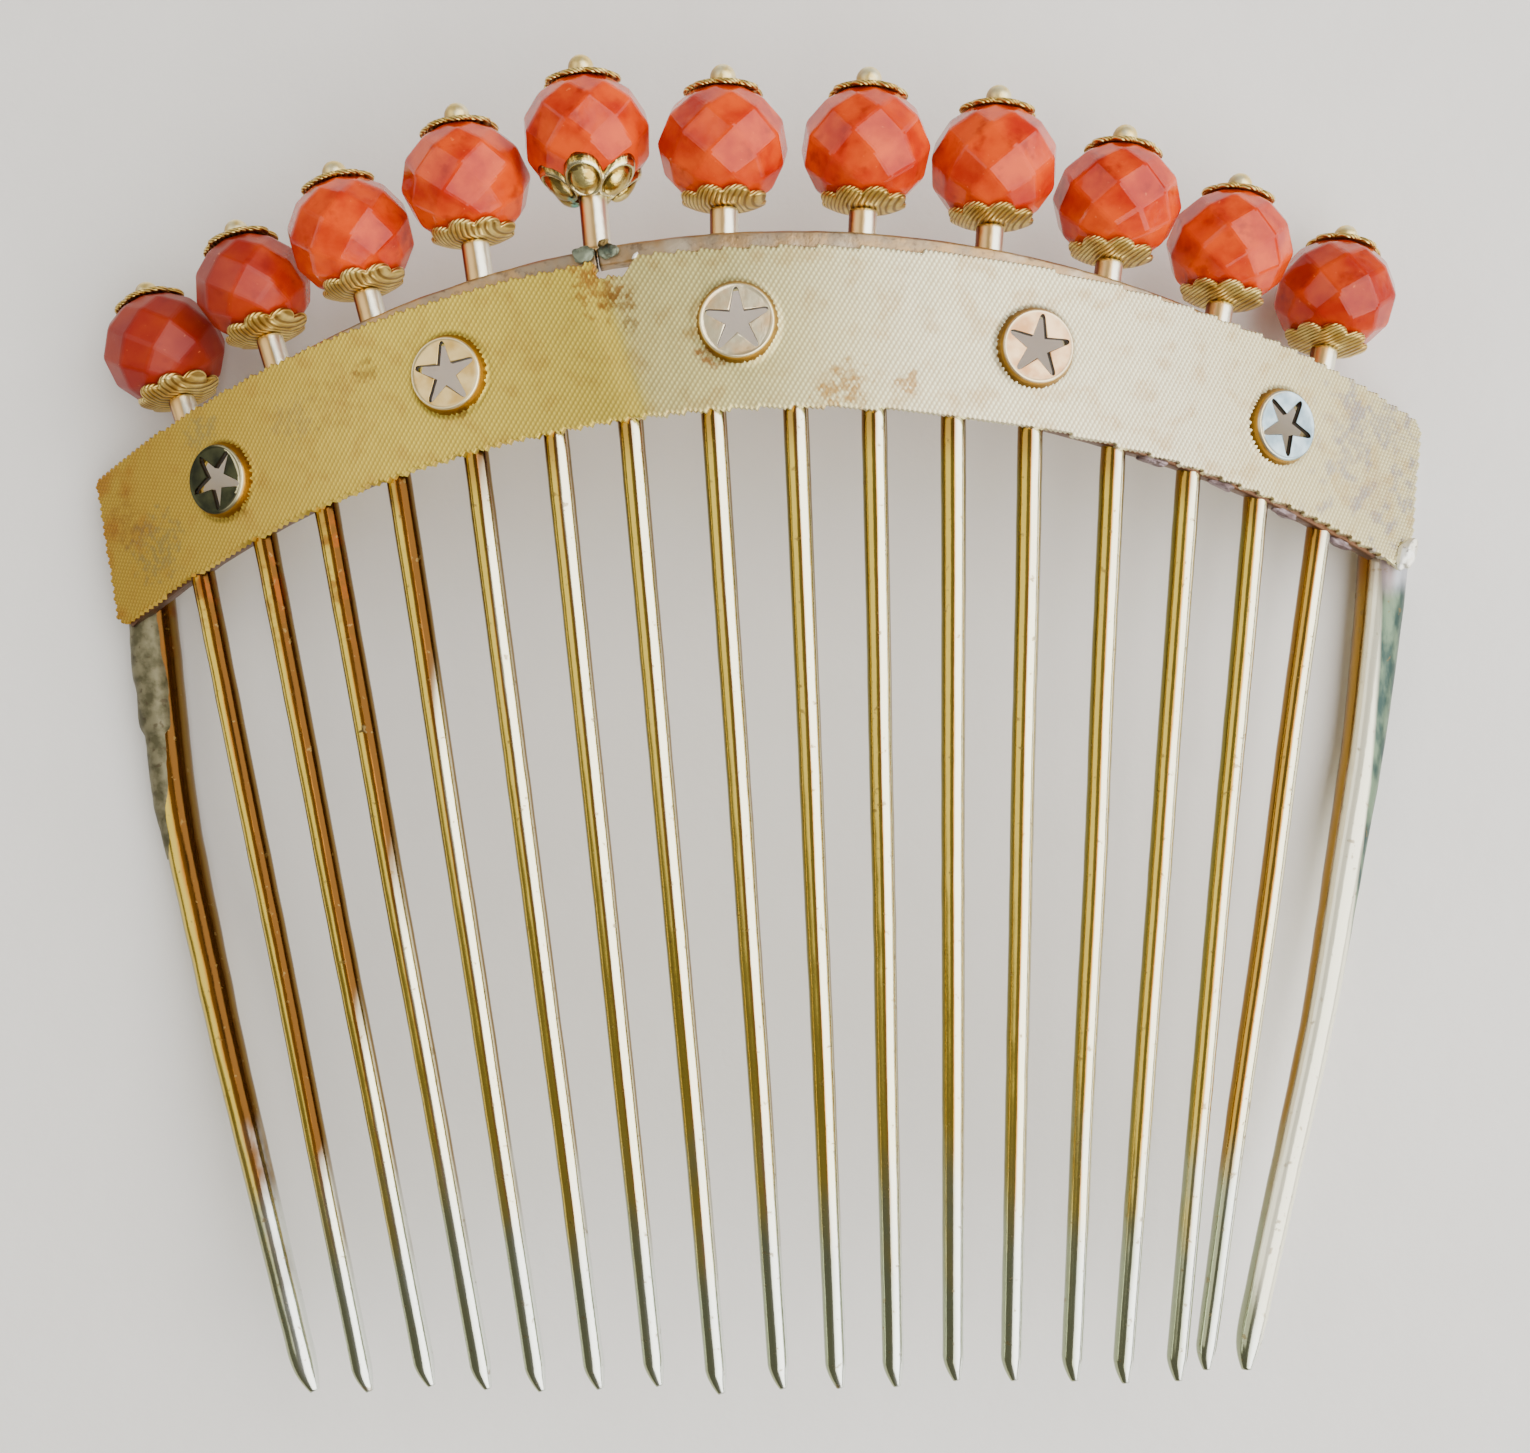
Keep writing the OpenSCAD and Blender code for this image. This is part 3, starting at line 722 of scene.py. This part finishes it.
# The right end tooth is worn to silver, with a teal crust on the side that faces right and a painted
# white highlight on the rest of it; it is less metallic there.
right_end = (x_here - 35.3 + (0 - y_here).rise(2, 34) * 7).rise(-0.6, 0.6)
teal = (facing + y_here * 0.05 + streak * 0.3 - 0.21).rise(-0.08, 0.14)
crust = cloud(place, 0.9, 5, (1, 0.4, 1))
patina = crust.rise(0.35, 0.65).mix(tone(40, 68, 62), tone(112, 134, 108))
patina = (y_here + crust - 8.1).rise(-0.7, 0.8).mix(patina, tone(180, 182, 190))
rubbed_and_lit = right_end * (facing + 0.72).rise(-0.08, 0.08)
colour = rubbed_and_lit.mix(colour, teal.mix(tone(255, 252, 226), patina))
left_top = (y_here - 4).rise(0, 7) * (0 - x_here - 20).rise(0, 6)
burnt = (left_top * cloud(place, 1.0, 4).rise(0.45, 0.65)) * 0.7
colour = burnt.mix(colour, tone(124, 64, 24))
# Painted shade under the rail's edge: the tops of the teeth are darker brown, except on the side
# that faces right.
rail_edge = 19.1 - x_here * x_here * (1 / 165.6)
shade_under_rail = (y_here - rail_edge).rise(-3.4, -0.8)
colour = (shade_under_rail * (0.4 - facing).rise(0, 0.4) * 0.55).mix(colour, tone(120, 64, 24))
pits = cloud(place, 0.5, 5).rise(0.64, 0.7) * 0.6
colour = pits.mix(colour, tone(128, 104, 60))
set_finish(
    colour, 1 - rubbed_and_lit * 0.55, streak * 0.14 + pits * 0.2 + rubbed_and_lit * teal * 0.25 + 0.1,
    cloud(place, 0.6, 4, (1, 0.3, 1)), 0.012)


def tube(line, radii, sides):
    """Points of rings round a line, and the faces of the closed tube that they make."""
    ways = np.gradient(line, axis=0)
    ways /= np.linalg.norm(ways, axis=1)[:, None]
    side = np.cross(ways, (0, 0, 1))
    side /= np.linalg.norm(side, axis=1)[:, None]
    rise = np.cross(side, ways)
    turn = even_angles(sides)
    rings = line[:, None] + radii[:, None, None] * (
        np.cos(turn)[None, :, None] * side[:, None] + np.sin(turn)[None, :, None] * rise[:, None])
    return rings.reshape(-1, 3), tube_faces(len(line), sides)


def tip_z(x):
    """Distance of a tip from the front of the band: the tips stand on a flatter curve."""
    return -2.6 - 5.5 * (x / 30) ** 2


def wire(name, corners, corner_radii, point_long, seed, soften=0, shaded=0):
    """A tooth along a line whose bends are softened, ground to a point at its end."""
    corners = np.array(corners, float)
    lengths = np.linalg.norm(np.diff(corners, axis=0), axis=1)
    stations = np.concatenate([[0], np.cumsum(lengths)])
    total = stations[-1]
    travel = np.concatenate([
        np.linspace(0, total - point_long, WIRE_STEPS - POINT_STEPS, endpoint=False),
        np.linspace(total - point_long, total, POINT_STEPS)])
    line = np.stack([np.interp(travel, stations, corners[:, k]) for k in range(3)], -1)
    radii = np.interp(travel, stations, corner_radii)
    for _ in range(soften):
        line[1:-1] = (line[:-2] + 2 * line[1:-1] + line[2:]) / 4
    for k, along_it in enumerate(travel):
        sway = math.sin(math.pi * along_it / total)
        line[k, 0] += 0.1 * sway * noise.noise(Vector((along_it * 0.06, seed, 0)))
        radii[k] *= 1 + 0.03 * noise.noise(Vector((along_it * 0.5, seed, 5)))
    ground = np.clip((travel - total + point_long) / point_long, 0, 1)
    slim = 1 - 0.62 * ground**1.6
    line[:, 0] += (1 - slim) * radii * 0.55
    points, faces = tube(line, radii * slim, WIRE_SIDES)
    add_piece(name, points, faces, tooth_finish, marks={"shaded": [shaded] * len(points)})


for n, (top_shift, tip_shift, lower) in enumerate(TOOTH_ROWS, 2):
    from_middle = n - (TEETH + 1) / 2
    arc_here = from_middle * TOOTH_PITCH + top_shift
    x_top, _, z_top = bent(arc_here, 0, RAIL_R - TOOTH_D / 2)
    y_top = RAIL_LOW_Y + arch_y(RAIL_LOW_R, x_top) + RAIL_WIDE - 0.1
    x_tip = from_middle * TIP_SPAN / (TEETH - 1) + tip_shift
    wire(f"tooth_{n:02d}",
         [(x_top, y_top, z_top), (x_tip, -TIP_DEPTH - lower, tip_z(x_tip))],
         [TOOTH_D / 2, TIP_D / 2], 1.5, n)

for n, row in zip((1, TEETH), END_ROWS):
    shoulder = (row["shoulder"], SHOULDER_Y, CLEAR * row["shoulder_r"] - LAID[2])
    knee = np.array([row["knee"], KNEE_Y, CLEAR * row["knee_r"] - LAID[2]])
    tip = np.array([row["tip"], -TIP_DEPTH - row["lower"], tip_z(row["tip"])])
    share = (BEND_Y - KNEE_Y) / (tip[1] - KNEE_Y)
    bend = np.array([row["bend"], BEND_Y, knee[2] + share * (tip[2] - knee[2])])
    top = (row["top"], END_TOP_Y, CLEAR * END_TOOTH_D / 2 - LAID[2])
    wire(f"tooth_{n:02d}", [top, shoulder, knee, bend, tip],
         [END_TOOTH_D / 2, row["shoulder_r"], row["knee_r"], BEND_R, END_TIP_D / 2],
         2.0, n, 30, n == 1)


# Solder. Soft lead solder: an olive-grey sleeve on the left end tooth, lilac seams along the
# lower rail, green-grey mends at the broken edge and a white bead on the right corner.
def solder_finish(name, light, dark, rough):
    made, place = new_finish(name)
    lumpy = cloud(place, 0.9, 5)
    colour = lumpy.rise(0.35, 0.65).mix(tone(*dark), tone(*light))
    colour = (cloud(place, 0.5, 4).rise(0.6, 0.68) * 0.6).mix(colour, tone(72, 58, 40))
    set_finish(colour, 0.7, lumpy * 0.3 + rough, lumpy, 0.06)
    return made


olive_solder = solder_finish("olive_solder", (128, 122, 94), (82, 78, 54), 0.4)
lilac_solder = solder_finish("lilac_solder", (160, 142, 146), (92, 72, 70), 0.34)
green_solder = solder_finish("green_grey_solder", (124, 132, 112), (40, 48, 38), 0.32)
brown_solder = solder_finish("brown_solder", (178, 158, 104), (104, 82, 40), 0.3)
white_solder = solder_finish("white_solder", (255, 255, 250), (236, 232, 214), 0.3)


def lump(centre, sizes, seed, turn, square):
    """Points and faces of an uneven drop, pressed to three half sizes. A low power makes
    it square."""
    shape = bmesh.new()
    bmesh.ops.create_icosphere(shape, subdivisions=4, radius=1)
    points = []
    for vert in shape.verts:
        swell = 1 + 0.3 * noise.noise(vert.co * 1.7 + Vector((seed, 0, 0)))
        x, y, z = (
            math.copysign(abs(vert.co[k]) ** square, vert.co[k]) * sizes[k] * swell
            for k in range(3))
        points.append((
            centre[0] + x * math.cos(turn) - y * math.sin(turn),
            centre[1] + x * math.sin(turn) + y * math.cos(turn), centre[2] + z))
    faces = [[vert.index for vert in face.verts] for face in shape.faces]
    shape.free()
    return points, faces


# Of each drop: its pixel in the photo, radius, three half sizes, turn and finish.
SOLDER_DROPS = [
    (583, 254, 73.85, (0.66, 0.5, 0.14), 0.22, green_solder),
    (608, 250, 73.85, (0.62, 0.42, 0.18), 0.15, green_solder),
    (603, 242, 73.8, (0.34, 0.22, 0.22), 0.4, brown_solder),
    (635, 255, 74.15, (0.24, 0.12, 0.1), 0.9, white_solder),
    (1404, 555, 74.35, (0.58, 1.05, 0.36), -0.4, white_solder),
    (1150, 460, 73.3, (0.9, 0.26, 0.4), -0.38, lilac_solder),
    (1218, 484, 73.3, (0.86, 0.26, 0.4), -0.44, lilac_solder),
    (1280, 512, 73.3, (0.84, 0.26, 0.4), -0.5, lilac_solder),
    (1336, 543, 73.3, (0.7, 0.26, 0.4), -0.52, lilac_solder),
    (363, 730, 72.9, (0.3, 0.45, 0.3), 0.1, brown_solder)]
for n, (px, py, radius, sizes, turn, finish) in enumerate(SOLDER_DROPS, 1):
    square = 0.82 if finish == lilac_solder else 1
    points, faces = lump(seen_at(px, py, radius), sizes, n * 3.1, turn, square)
    add_piece(f"solder_{n}", points, faces, finish)

# Height and radius along the sleeve.
SLEEVE_ROWS = [
    (-34.6, 0.5), (-34.2, 0.85), (-30, 0.98), (-26.3, 1.0), (-25.8, 1.2), (-22, 1.32),
    (-18, 1.26), (-16.6, 0.8)]
SLEEVE_SHIFT = -0.42
SLEEVE_HIGH = 1.7
SLEEVE_SIDES = 24
row_y, row_r = np.array(SLEEVE_ROWS).T
sleeve_y = np.linspace(row_y[0], row_y[-1], 90)
left_tooth = END_ROWS[0]
sleeve_x = SLEEVE_SHIFT + np.interp(
    sleeve_y, [BEND_Y, KNEE_Y, END_TOP_Y], [left_tooth[key] for key in ("bend", "knee", "top")])
sleeve_z = SLEEVE_HIGH - LAID[2] + np.interp(sleeve_y, [-36, KNEE_Y], [0.4, 0])
sleeve_line = np.stack([sleeve_x, sleeve_y, sleeve_z], -1)
sleeve_points, sleeve_faces = tube(
    sleeve_line, np.interp(sleeve_y, row_y, row_r), SLEEVE_SIDES)
for k, point in enumerate(sleeve_points):
    middle = sleeve_line[k // SLEEVE_SIDES]
    uneven = 0.11 * noise.noise(Vector(point) * 0.5) + 0.025 * noise.noise(Vector(point) * 1.6)
    sleeve_points[k] = middle + (point - middle) * (1 + uneven)
add_piece("solder_sleeve", sleeve_points, sleeve_faces, olive_solder)


# Stems. Short gilt tubes, soldered to the upper rail so that they fan out; each takes the
# pin of its bead.
STEM_D = 1.65
stem_finish, place = new_finish("rose_gilt_tube")
facing = facing_right()
streak = cloud(place, 0.7, 3, (1, 0.3, 1))
colour = streak.mix(tone(206, 166, 104), tone(232, 196, 136))
# Painted highlight on the side that faces right, and painted shade on the edge that faces left.
colour = (facing + streak * 0.3 - 0.15).rise(0.0, 0.2).mix(colour, tone(255, 252, 232))
colour = (0 - facing).rise(0.66, 0.84).mix(colour, tone(120, 62, 36))
set_finish(colour, 1, streak * 0.2 + 0.26, cloud(place, 0.4, 3), 0.015)


def corners_of(name):
    """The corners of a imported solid, in the band's own frame."""
    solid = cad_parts[name].data
    return np.array([vert.co[:] for vert in solid.vertices]) / MM - LAID


def pin_line(name):
    """Foot and direction of a pin."""
    spots = corners_of(name)
    middle = spots.mean(axis=0)
    way = np.linalg.svd(spots - middle, full_matrices=False)[2][0]
    way *= np.sign(way[1])
    return (spots[(spots - middle) @ way < 0]).mean(axis=0), way


def reach_along(name, centre, way):
    """Lowest and highest place of a solid along a pin."""
    places = (corners_of(name) - centre) @ way
    return places.min(), places.max()


BEADS = 11
FLOWER = 5
FLOWER_LIFT = 0.3
STEM_LONG = 4.2
pins = []
for n in range(1, BEADS + 1):
    centre, way = pin_line(f"head_pin_{n:02d}")
    outward = np.array([centre[0], 0, centre[2] + BAND_R])
    outward -= way * (outward @ way)
    outward /= np.linalg.norm(outward)
    cap_low, _ = reach_along(f"lower_cap_{n:02d}", centre, way)
    _, top_high = reach_along(f"upper_cap_{n:02d}", centre, way)
    pins.append(dict(
        centre=centre, way=way, out=outward, side=np.cross(way, outward) * -1,
        cap_low=cap_low, top_high=top_high))

for n, pin in enumerate(pins, 1):
    top = pin["cap_low"] - 0.05 + (FLOWER_LIFT + 0.1) * (n == FLOWER)
    foot = RAIL_LIP - 0.1 if n == FLOWER else RAIL_LIP - RAIL_WIDE - 0.1
    stations = np.linspace(top - STEM_LONG, top, 40)
    line = pin["centre"] + stations[:, None] * pin["way"]
    line = line[line[:, 1] > foot + arch_y(RAIL_TOP_R, line[:, 0])]
    radii = np.full(len(line), STEM_D / 2)
    radii[-1] *= 0.94
    radii[0] *= 1.12
    radii[1] *= 1.06
    points, faces = tube(line, radii, WIRE_SIDES)
    add_piece(f"stem_{n:02d}", points, faces, stem_finish)


# Star discs. Flat cups stamped from thin gilt sheet, each with a star cut through it and a
# narrow smooth rim, set over the holes of the plate. The arms of the stars end round.
STAR_R = 0.9 * DISC_R
STAR_ARMS = 5
ARM_ROOT = 0.52
ARM_END = 0.13
DISC_SHEET = 0.4
DISC_STEPS = 180
RIM_R = 2.0

# What a point of a disc is marked as, apart from 0 to 1 for how bright its rim is.
WALL = 2
# The walls of the star's cut and the cup's underside are painted nearly black, as shade.
CUT = -1


def disc_finish(name, light, shade, rim):
    made, place = new_finish(name)
    stained = cloud(place, 1.3, 4)
    colour = stained.rise(0.35, 0.7).mix(tone(*light), tone(*shade))
    # The rim's tone, with a painted highlight as a crescent on the first and last discs.
    colour = (marked("edge") * 0.8).mix(colour, tone(*rim))
    # Painted shade on the cut walls and the underside.
    colour = marked("cut").mix(colour, tone(44, 34, 18))
    colour = marked("wall").mix(colour, tone(186, 140, 56))
    set_finish(colour, 1, stained * 0.25 + 0.2, cloud(place, 0.5, 4), 0.02)
    return made


# Tones of the face, its stains and the rim, and the side and width of a bright crescent. A
# narrow crescent is a rim that is bright all round. The wide crescents, on the right of the
# first disc and on the left of the last, are painted highlights.
EVEN_WIDE = 0.1
DISC_TONES = [
    ((64, 66, 46), (40, 42, 32), (252, 242, 190), 5, 0.22),
    ((232, 204, 140), (206, 168, 92), (250, 234, 186), 0, 0.05),
    ((253, 240, 200), (232, 192, 136), (252, 236, 190), 0, 0.05),
    ((232, 196, 150), (196, 146, 100), (250, 232, 190), 0, 0.05),
    ((184, 204, 212), (136, 158, 170), (250, 226, 166), 170, 0.14)]


def off_middle(angle, parts):
    """Angle to the middle of the nearest of so many equal parts of a turn."""
    part = math.tau / parts
    return abs((angle + part / 2) % part - part / 2)


def star_edge(angle):
    """Distance of the star's edge from its middle: arms that narrow to a round end."""
    off = off_middle(angle, STAR_ARMS)
    taper = (ARM_ROOT - ARM_END) / STAR_R
    side = ARM_ROOT / (math.sin(off) + taper * math.cos(off))
    middle = STAR_R - ARM_END
    end = middle * math.cos(off) + math.sqrt(max(0, ARM_END**2 - (middle * math.sin(off)) ** 2))
    return min(side, end)


for k, (row, (disc_arc, disc_y)) in enumerate(zip(DISC_ROWS, DISC_PLACES)):
    face_tone, stain_tone, rim_tone, bright_side, bright_wide = DISC_TONES[k]
    turn = math.radians(90 + row["turn"])
    angles = even_angles(DISC_STEPS) + turn
    rings = []
    rim_marks = []
    for angle in angles:
        inner = star_edge(angle - turn)
        # The bright crescent on one side is a painted highlight.
        towards = max(0, math.cos(angle - math.radians(bright_side)))
        bright_from = RIM_R - bright_wide * towards
        rim_mark = 1 if bright_wide < EVEN_WIDE else towards
        # Radius, rise and mark of each point of a cut through the cup.
        profile = [
            (inner, DISC_RISE - DISC_SHEET, CUT), (inner, DISC_RISE - 0.06, CUT),
            (inner + 0.03, DISC_RISE, 0)]
        for share in np.linspace(0.1, 0.9, 9):
            reach_r = inner + 0.03 + share * (1.92 - inner - 0.03)
            profile.append((reach_r, DISC_RISE, 1 if reach_r > bright_from else 0))
        profile += [
            (1.95, DISC_RISE, 0.2 * rim_mark), (RIM_R, DISC_RISE + 0.03, rim_mark),
            (2.06, DISC_RISE + 0.03, rim_mark), (2.11, DISC_RISE - 0.03, 0.8 * rim_mark),
            (2.16, DISC_RISE - 0.15, WALL), (2.37, 0.06, WALL), (2.1, 0.06, CUT),
            (1.9, DISC_RISE - DISC_SHEET, CUT)]
        reach_r, rise, marks = np.array(profile).T
        rings.append(bent(
            disc_arc + reach_r * math.cos(angle), disc_y + reach_r * math.sin(angle),
            BAND_R + rise))
        rim_marks.append(marks)
    rim_marks = np.concatenate(rim_marks)
    on_wall = rim_marks == WALL
    add_piece(
        f"star_disc_gilt_{k + 1}", np.concatenate(rings), grid_faces(DISC_STEPS, len(profile), True),
        disc_finish(f"disc_gilt_{k + 1}", face_tone, stain_tone, rim_tone),
        f"star_disc_{k + 1}", marks={
            "edge": np.where(on_wall, 0, rim_marks).clip(0), "cut": (-rim_marks).clip(0),
            "wall": on_wall})


# Lower caps. Scalloped cups of finely ribbed gilt sheet under the beads. The fifth was
# replaced by a larger flower with six domed petals that have wire borders.
CAP_R = 2.6
CAP_THICK = 0.28
CAP_BORE_R = 0.45
CAP_LOBES = 8
LOBE_SHARE = 0.34
BODY_SHARE = 0.8
CAP_ROWS = ([CAP_BORE_R, 1.35, 2.05, 2.95], [0, 0, 0.2, 0.62])
FLOWER_ROWS = ([CAP_BORE_R, 1.2, 2.1, 3.1], [0, 0.1, 0.6, 1.45])
FLOWER_R = 3.1
FLOWER_BODY_R = 2.1
PETALS = 6
PETAL_R = 1.12
PETAL_TURN = math.radians(30)
DOME_HIGH = 0.62
DOME_R = 0.84
WIRE_WIDE = 0.26
RIB_PITCH = 0.25

cap_finish, place = new_finish("ribbed_gilt")
ribs = Paint.node(
    "ShaderNodeMath", {"operation": "SINE"}, {0: marked("ribs") * (math.tau / RIB_PITCH)})
aged = cloud(place, 1.2, 4)
colour = aged.rise(0.35, 0.65).mix(tone(220, 184, 92), tone(252, 228, 142))
# Painted shade in the troughs of the ribs.
colour = ((0 - ribs).rise(-0.2, 0.9) * 0.75).mix(colour, tone(130, 90, 34))
set_finish(colour, 1, aged * 0.2 + 0.28, ribs, 0.03)

flower_finish, place = new_finish("flower_gilt")
border = marked("border")
aged = cloud(place, 0.8, 4)
colour = aged.rise(0.35, 0.65).mix(tone(196, 164, 76), tone(246, 228, 150))
# Painted highlight on the wire borders, and painted shade in the grooves inside them.
colour = border.rise(0.2, 0.8).mix(colour, tone(255, 246, 196))
colour = ((0 - border).rise(0.2, 0.8) * 0.8).mix(colour, tone(88, 62, 22))
olive_side = (seen_at(578, 190)[0] - coordinate(place)).rise(-0.5, 0.5)
colour = (olive_side * 0.6).mix(colour, tone(122, 96, 42))
seen_flat = Paint.node(
    "ShaderNodeVectorMath", {"operation": "MULTIPLY"}, {0: place, 1: (1, 1, 0)})
from_green = away_from(seen_flat, *seen_at(573, 203, 73.2)[:2], -LAID[2])
colour = (1 - from_green.rise(0.2, 0.45)).mix(colour, tone(110, 176, 164))
set_finish(colour, 1, aged * 0.15 + 0.16, cloud(place, 0.2, 3), 0.02)


def lobe_edge(angle, r, lobes, lobe_r, body_r):
    """Distance of a lobed outline from its middle, in this direction."""
    off = off_middle(angle, lobes)
    reach_off = (r - lobe_r) * math.sin(off)
    if reach_off >= lobe_r:
        return body_r
    return max(body_r, (r - lobe_r) * math.cos(off) + math.sqrt(lobe_r**2 - reach_off**2))


def to_pin(pin, x, y, z):
    """A point of a cap's own frame, placed on its pin."""
    return pin["centre"] + x * pin["side"] - y * pin["out"] + z * pin["way"]


def cap_piece(name, pin, foot, flip, size, turn_deg, solid):
    """A scalloped cap: its two sides, its lobed rim and its bore."""
    turns = 128
    shares = np.linspace(0, 1, 12)
    points = []
    marks = []
    for i in range(turns):
        angle = i * math.tau / turns
        edge = lobe_edge(
            angle, CAP_R * size, CAP_LOBES, LOBE_SHARE * CAP_R * size, BODY_SHARE * CAP_R * size)
        reach_of = CAP_BORE_R + shares * (edge - 0.05 - CAP_BORE_R)
        spots = [(r, 0) for r in reach_of] + [(edge, CAP_THICK / 2)]
        spots += [(r, CAP_THICK) for r in reach_of[::-1]]
        for r, up in spots:
            rise = np.interp(r, *CAP_ROWS) + up
            whole = angle + math.radians(turn_deg)
            x = r * math.cos(whole)
            y = r * math.sin(whole)
            points.append(to_pin(pin, x, flip * y, foot + flip * rise))
            marks.append(0.8 * x + 1.1 * rise + 0.15 * y)
    add_piece(
        name, points, grid_faces(turns, len(spots), True), cap_finish, solid,
        marks={"ribs": marks})


def flower_piece(name, pin, foot, solid):
    """A cap of six domed petals, each with a wire soldered round it."""
    turns = 264
    shares = np.linspace(0, 1, 52)
    points = []
    marks = []
    for side in (0, 1):
        for s in shares:
            for i in range(turns):
                angle = i * math.tau / turns
                edge = lobe_edge(angle, FLOWER_R, PETALS, PETAL_R, FLOWER_BODY_R)
                r = CAP_BORE_R + s * (edge - CAP_BORE_R)
                off = off_middle(angle, PETALS)
                from_petal = math.hypot(r * math.cos(off) - FLOWER_R + PETAL_R, r * math.sin(off))
                dome = math.sqrt(max(0, 1 - (from_petal / DOME_R) ** 2))
                across = (PETAL_R - from_petal) / WIRE_WIDE * 2 - 1
                ring = math.sqrt(max(0, 1 - across**2))
                bump = DOME_HIGH * dome + WIRE_WIDE * ring if side == 0 else 0
                whole = angle + PETAL_TURN
                points.append(to_pin(
                    pin, r * math.cos(whole), r * math.sin(whole),
                    foot + np.interp(r, *FLOWER_ROWS) - bump + side * CAP_THICK))
                in_groove = from_petal > DOME_R - 0.08 and ring == 0
                marks.append(ring if ring else -1.0 * in_groove)
    count = len(shares) * turns
    faces = grid_faces(len(shares), turns)
    faces += [tuple(v + count for v in face[::-1]) for face in faces]
    last = count - turns
    for i in range(turns):
        after = (i + 1) % turns
        faces.append((last + i, last + after, count + last + after, count + last + i))
        faces.append((after, i, count + i, count + after))
    add_piece(
        name, points, faces, flower_finish, solid, marks={"border": marks})


for n, pin in enumerate(pins, 1):
    if n == FLOWER:
        flower_piece(f"flower_cap_{n:02d}", pin, pin["cap_low"] + FLOWER_LIFT, f"lower_cap_{n:02d}")
    else:
        cap_piece(f"ribbed_lower_cap_{n:02d}", pin, pin["cap_low"], 1, 1, 11 * n,
                  f"lower_cap_{n:02d}")


# Beads. Coral turned to a ball, drilled, cut with rows of lozenge facets and polished; the
# edges between the facets have worn a little round.
bead_finish, place = new_finish("polished_coral")
bead_x = coordinate(place)
veins = cloud(place, 2.2, 4)
colour = veins.rise(0.3, 0.7).mix(tone(180, 30, 0), tone(224, 76, 2))
colour = (cloud(place, 1.2, 3).rise(0.55, 0.75) * 0.6).mix(colour, tone(140, 10, 0))
# Painted shade: the beads at the far left are darker red, those at the far right less so; the left
# ones are also rougher.
dulled_and_shaded = (0 - bead_x).rise(24, 33)
outer_shade = dulled_and_shaded * 0.75 + bead_x.rise(31, 36) * 0.4
colour = outer_shade.mix(colour, tone(116, 12, 2))
colour = (cloud(place, 0.35, 4).rise(0.68, 0.78) * 0.5).mix(colour, tone(240, 120, 60))
set_finish(
    colour, 0, cloud(place, 1.5, 3) * 0.1 + dulled_and_shaded * 0.3 + 0.1, cloud(place, 0.5, 3), 0.012,
    0.1, 1.36)

EDGE_WORN = 0.16
WELD = 0.004
FLAT_DEG = 1.5
SHARP_DEG = 12
SHORTEST = 0.6
for n in range(1, BEADS + 1):
    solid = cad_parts[f"bead_{n:02d}"].data
    shape = bmesh.new()
    shape.from_mesh(solid)
    bmesh.ops.remove_doubles(shape, verts=shape.verts, dist=WELD * MM)
    bmesh.ops.dissolve_limit(
        shape, angle_limit=math.radians(FLAT_DEG), verts=shape.verts, edges=shape.edges)
    sharp = [edge for edge in shape.edges
             if len(edge.link_faces) == 2 and edge.calc_face_angle() > math.radians(SHARP_DEG)
             and edge.calc_length() > SHORTEST * MM]
    bmesh.ops.bevel(
        shape, geom=sharp, offset=EDGE_WORN * MM, segments=2, profile=0.5, affect="EDGES")
    cut = bpy.data.meshes.new(f"coral_bead_{n:02d}")
    shape.to_mesh(cut)
    shape.free()
    cut.materials.clear()
    cut.materials.append(bead_finish)
    cut.polygons.foreach_set("use_smooth", [False] * len(cut.polygons))
    bead = into_scene(f"coral_bead_{n:02d}", cut)
    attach(bead, "root")
    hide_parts(f"bead_{n:02d}")


# Upper caps. Smaller scalloped cups of the same ribbed sheet, stamped and bored like the
# lower ones, turned over on the beads and held down by the balls of the head pins.
for n, pin in enumerate(pins, 1):
    cap_piece(f"ribbed_upper_cap_{n:02d}", pin, pin["top_high"], -1, 0.9, 17 * n,
              f"upper_cap_{n:02d}")


# Head pins. Gilt wire with a ball of pale gold as its head, passed through cap, bead and
# cap and cemented into the stem.
BALL_D = 1.5
PIN_D = 0.8
PIN_SIDES = 32
pin_finish, place = new_finish("pale_gold_ball")
worn = cloud(place, 0.7, 4)
colour = worn.rise(0.35, 0.7).mix(tone(244, 214, 130), tone(255, 246, 204))
facing = facing_right()
# Painted shade: brown on the side that faces left.
colour = ((worn * 0.5 - facing - 0.25).rise(0.1, 0.9) * 0.75).mix(colour, tone(146, 104, 44))
set_finish(colour, 0.8, worn * 0.2 + 0.32, cloud(place, 0.4, 4), 0.03)

for n, pin in enumerate(pins, 1):
    low, high_end = reach_along(f"head_pin_{n:02d}", pin["centre"], pin["way"])
    middle = high_end - BALL_D / 2
    seat = pin["top_high"] + 0.02
    half = np.linspace(0, math.pi, 23)
    profile = [(0.0, low), (PIN_D / 2, low), (PIN_D / 2, seat)]
    ball = [(BALL_D / 2 * math.sin(t), middle - BALL_D / 2 * math.cos(t)) for t in half]
    profile += [(r, z) for r, z in ball if z > seat]
    turn = even_angles(PIN_SIDES)
    rings = [
        to_pin(pin, max(r, 0.001) * math.cos(t), max(r, 0.001) * math.sin(t), z)
        for r, z in profile for t in turn]
    faces = grid_faces(len(profile), PIN_SIDES)
    add_piece(
        f"ball_pin_{n:02d}", rings, faces, pin_finish, f"head_pin_{n:02d}")


# Brings the scene up to date.
bpy.context.view_layer.update()
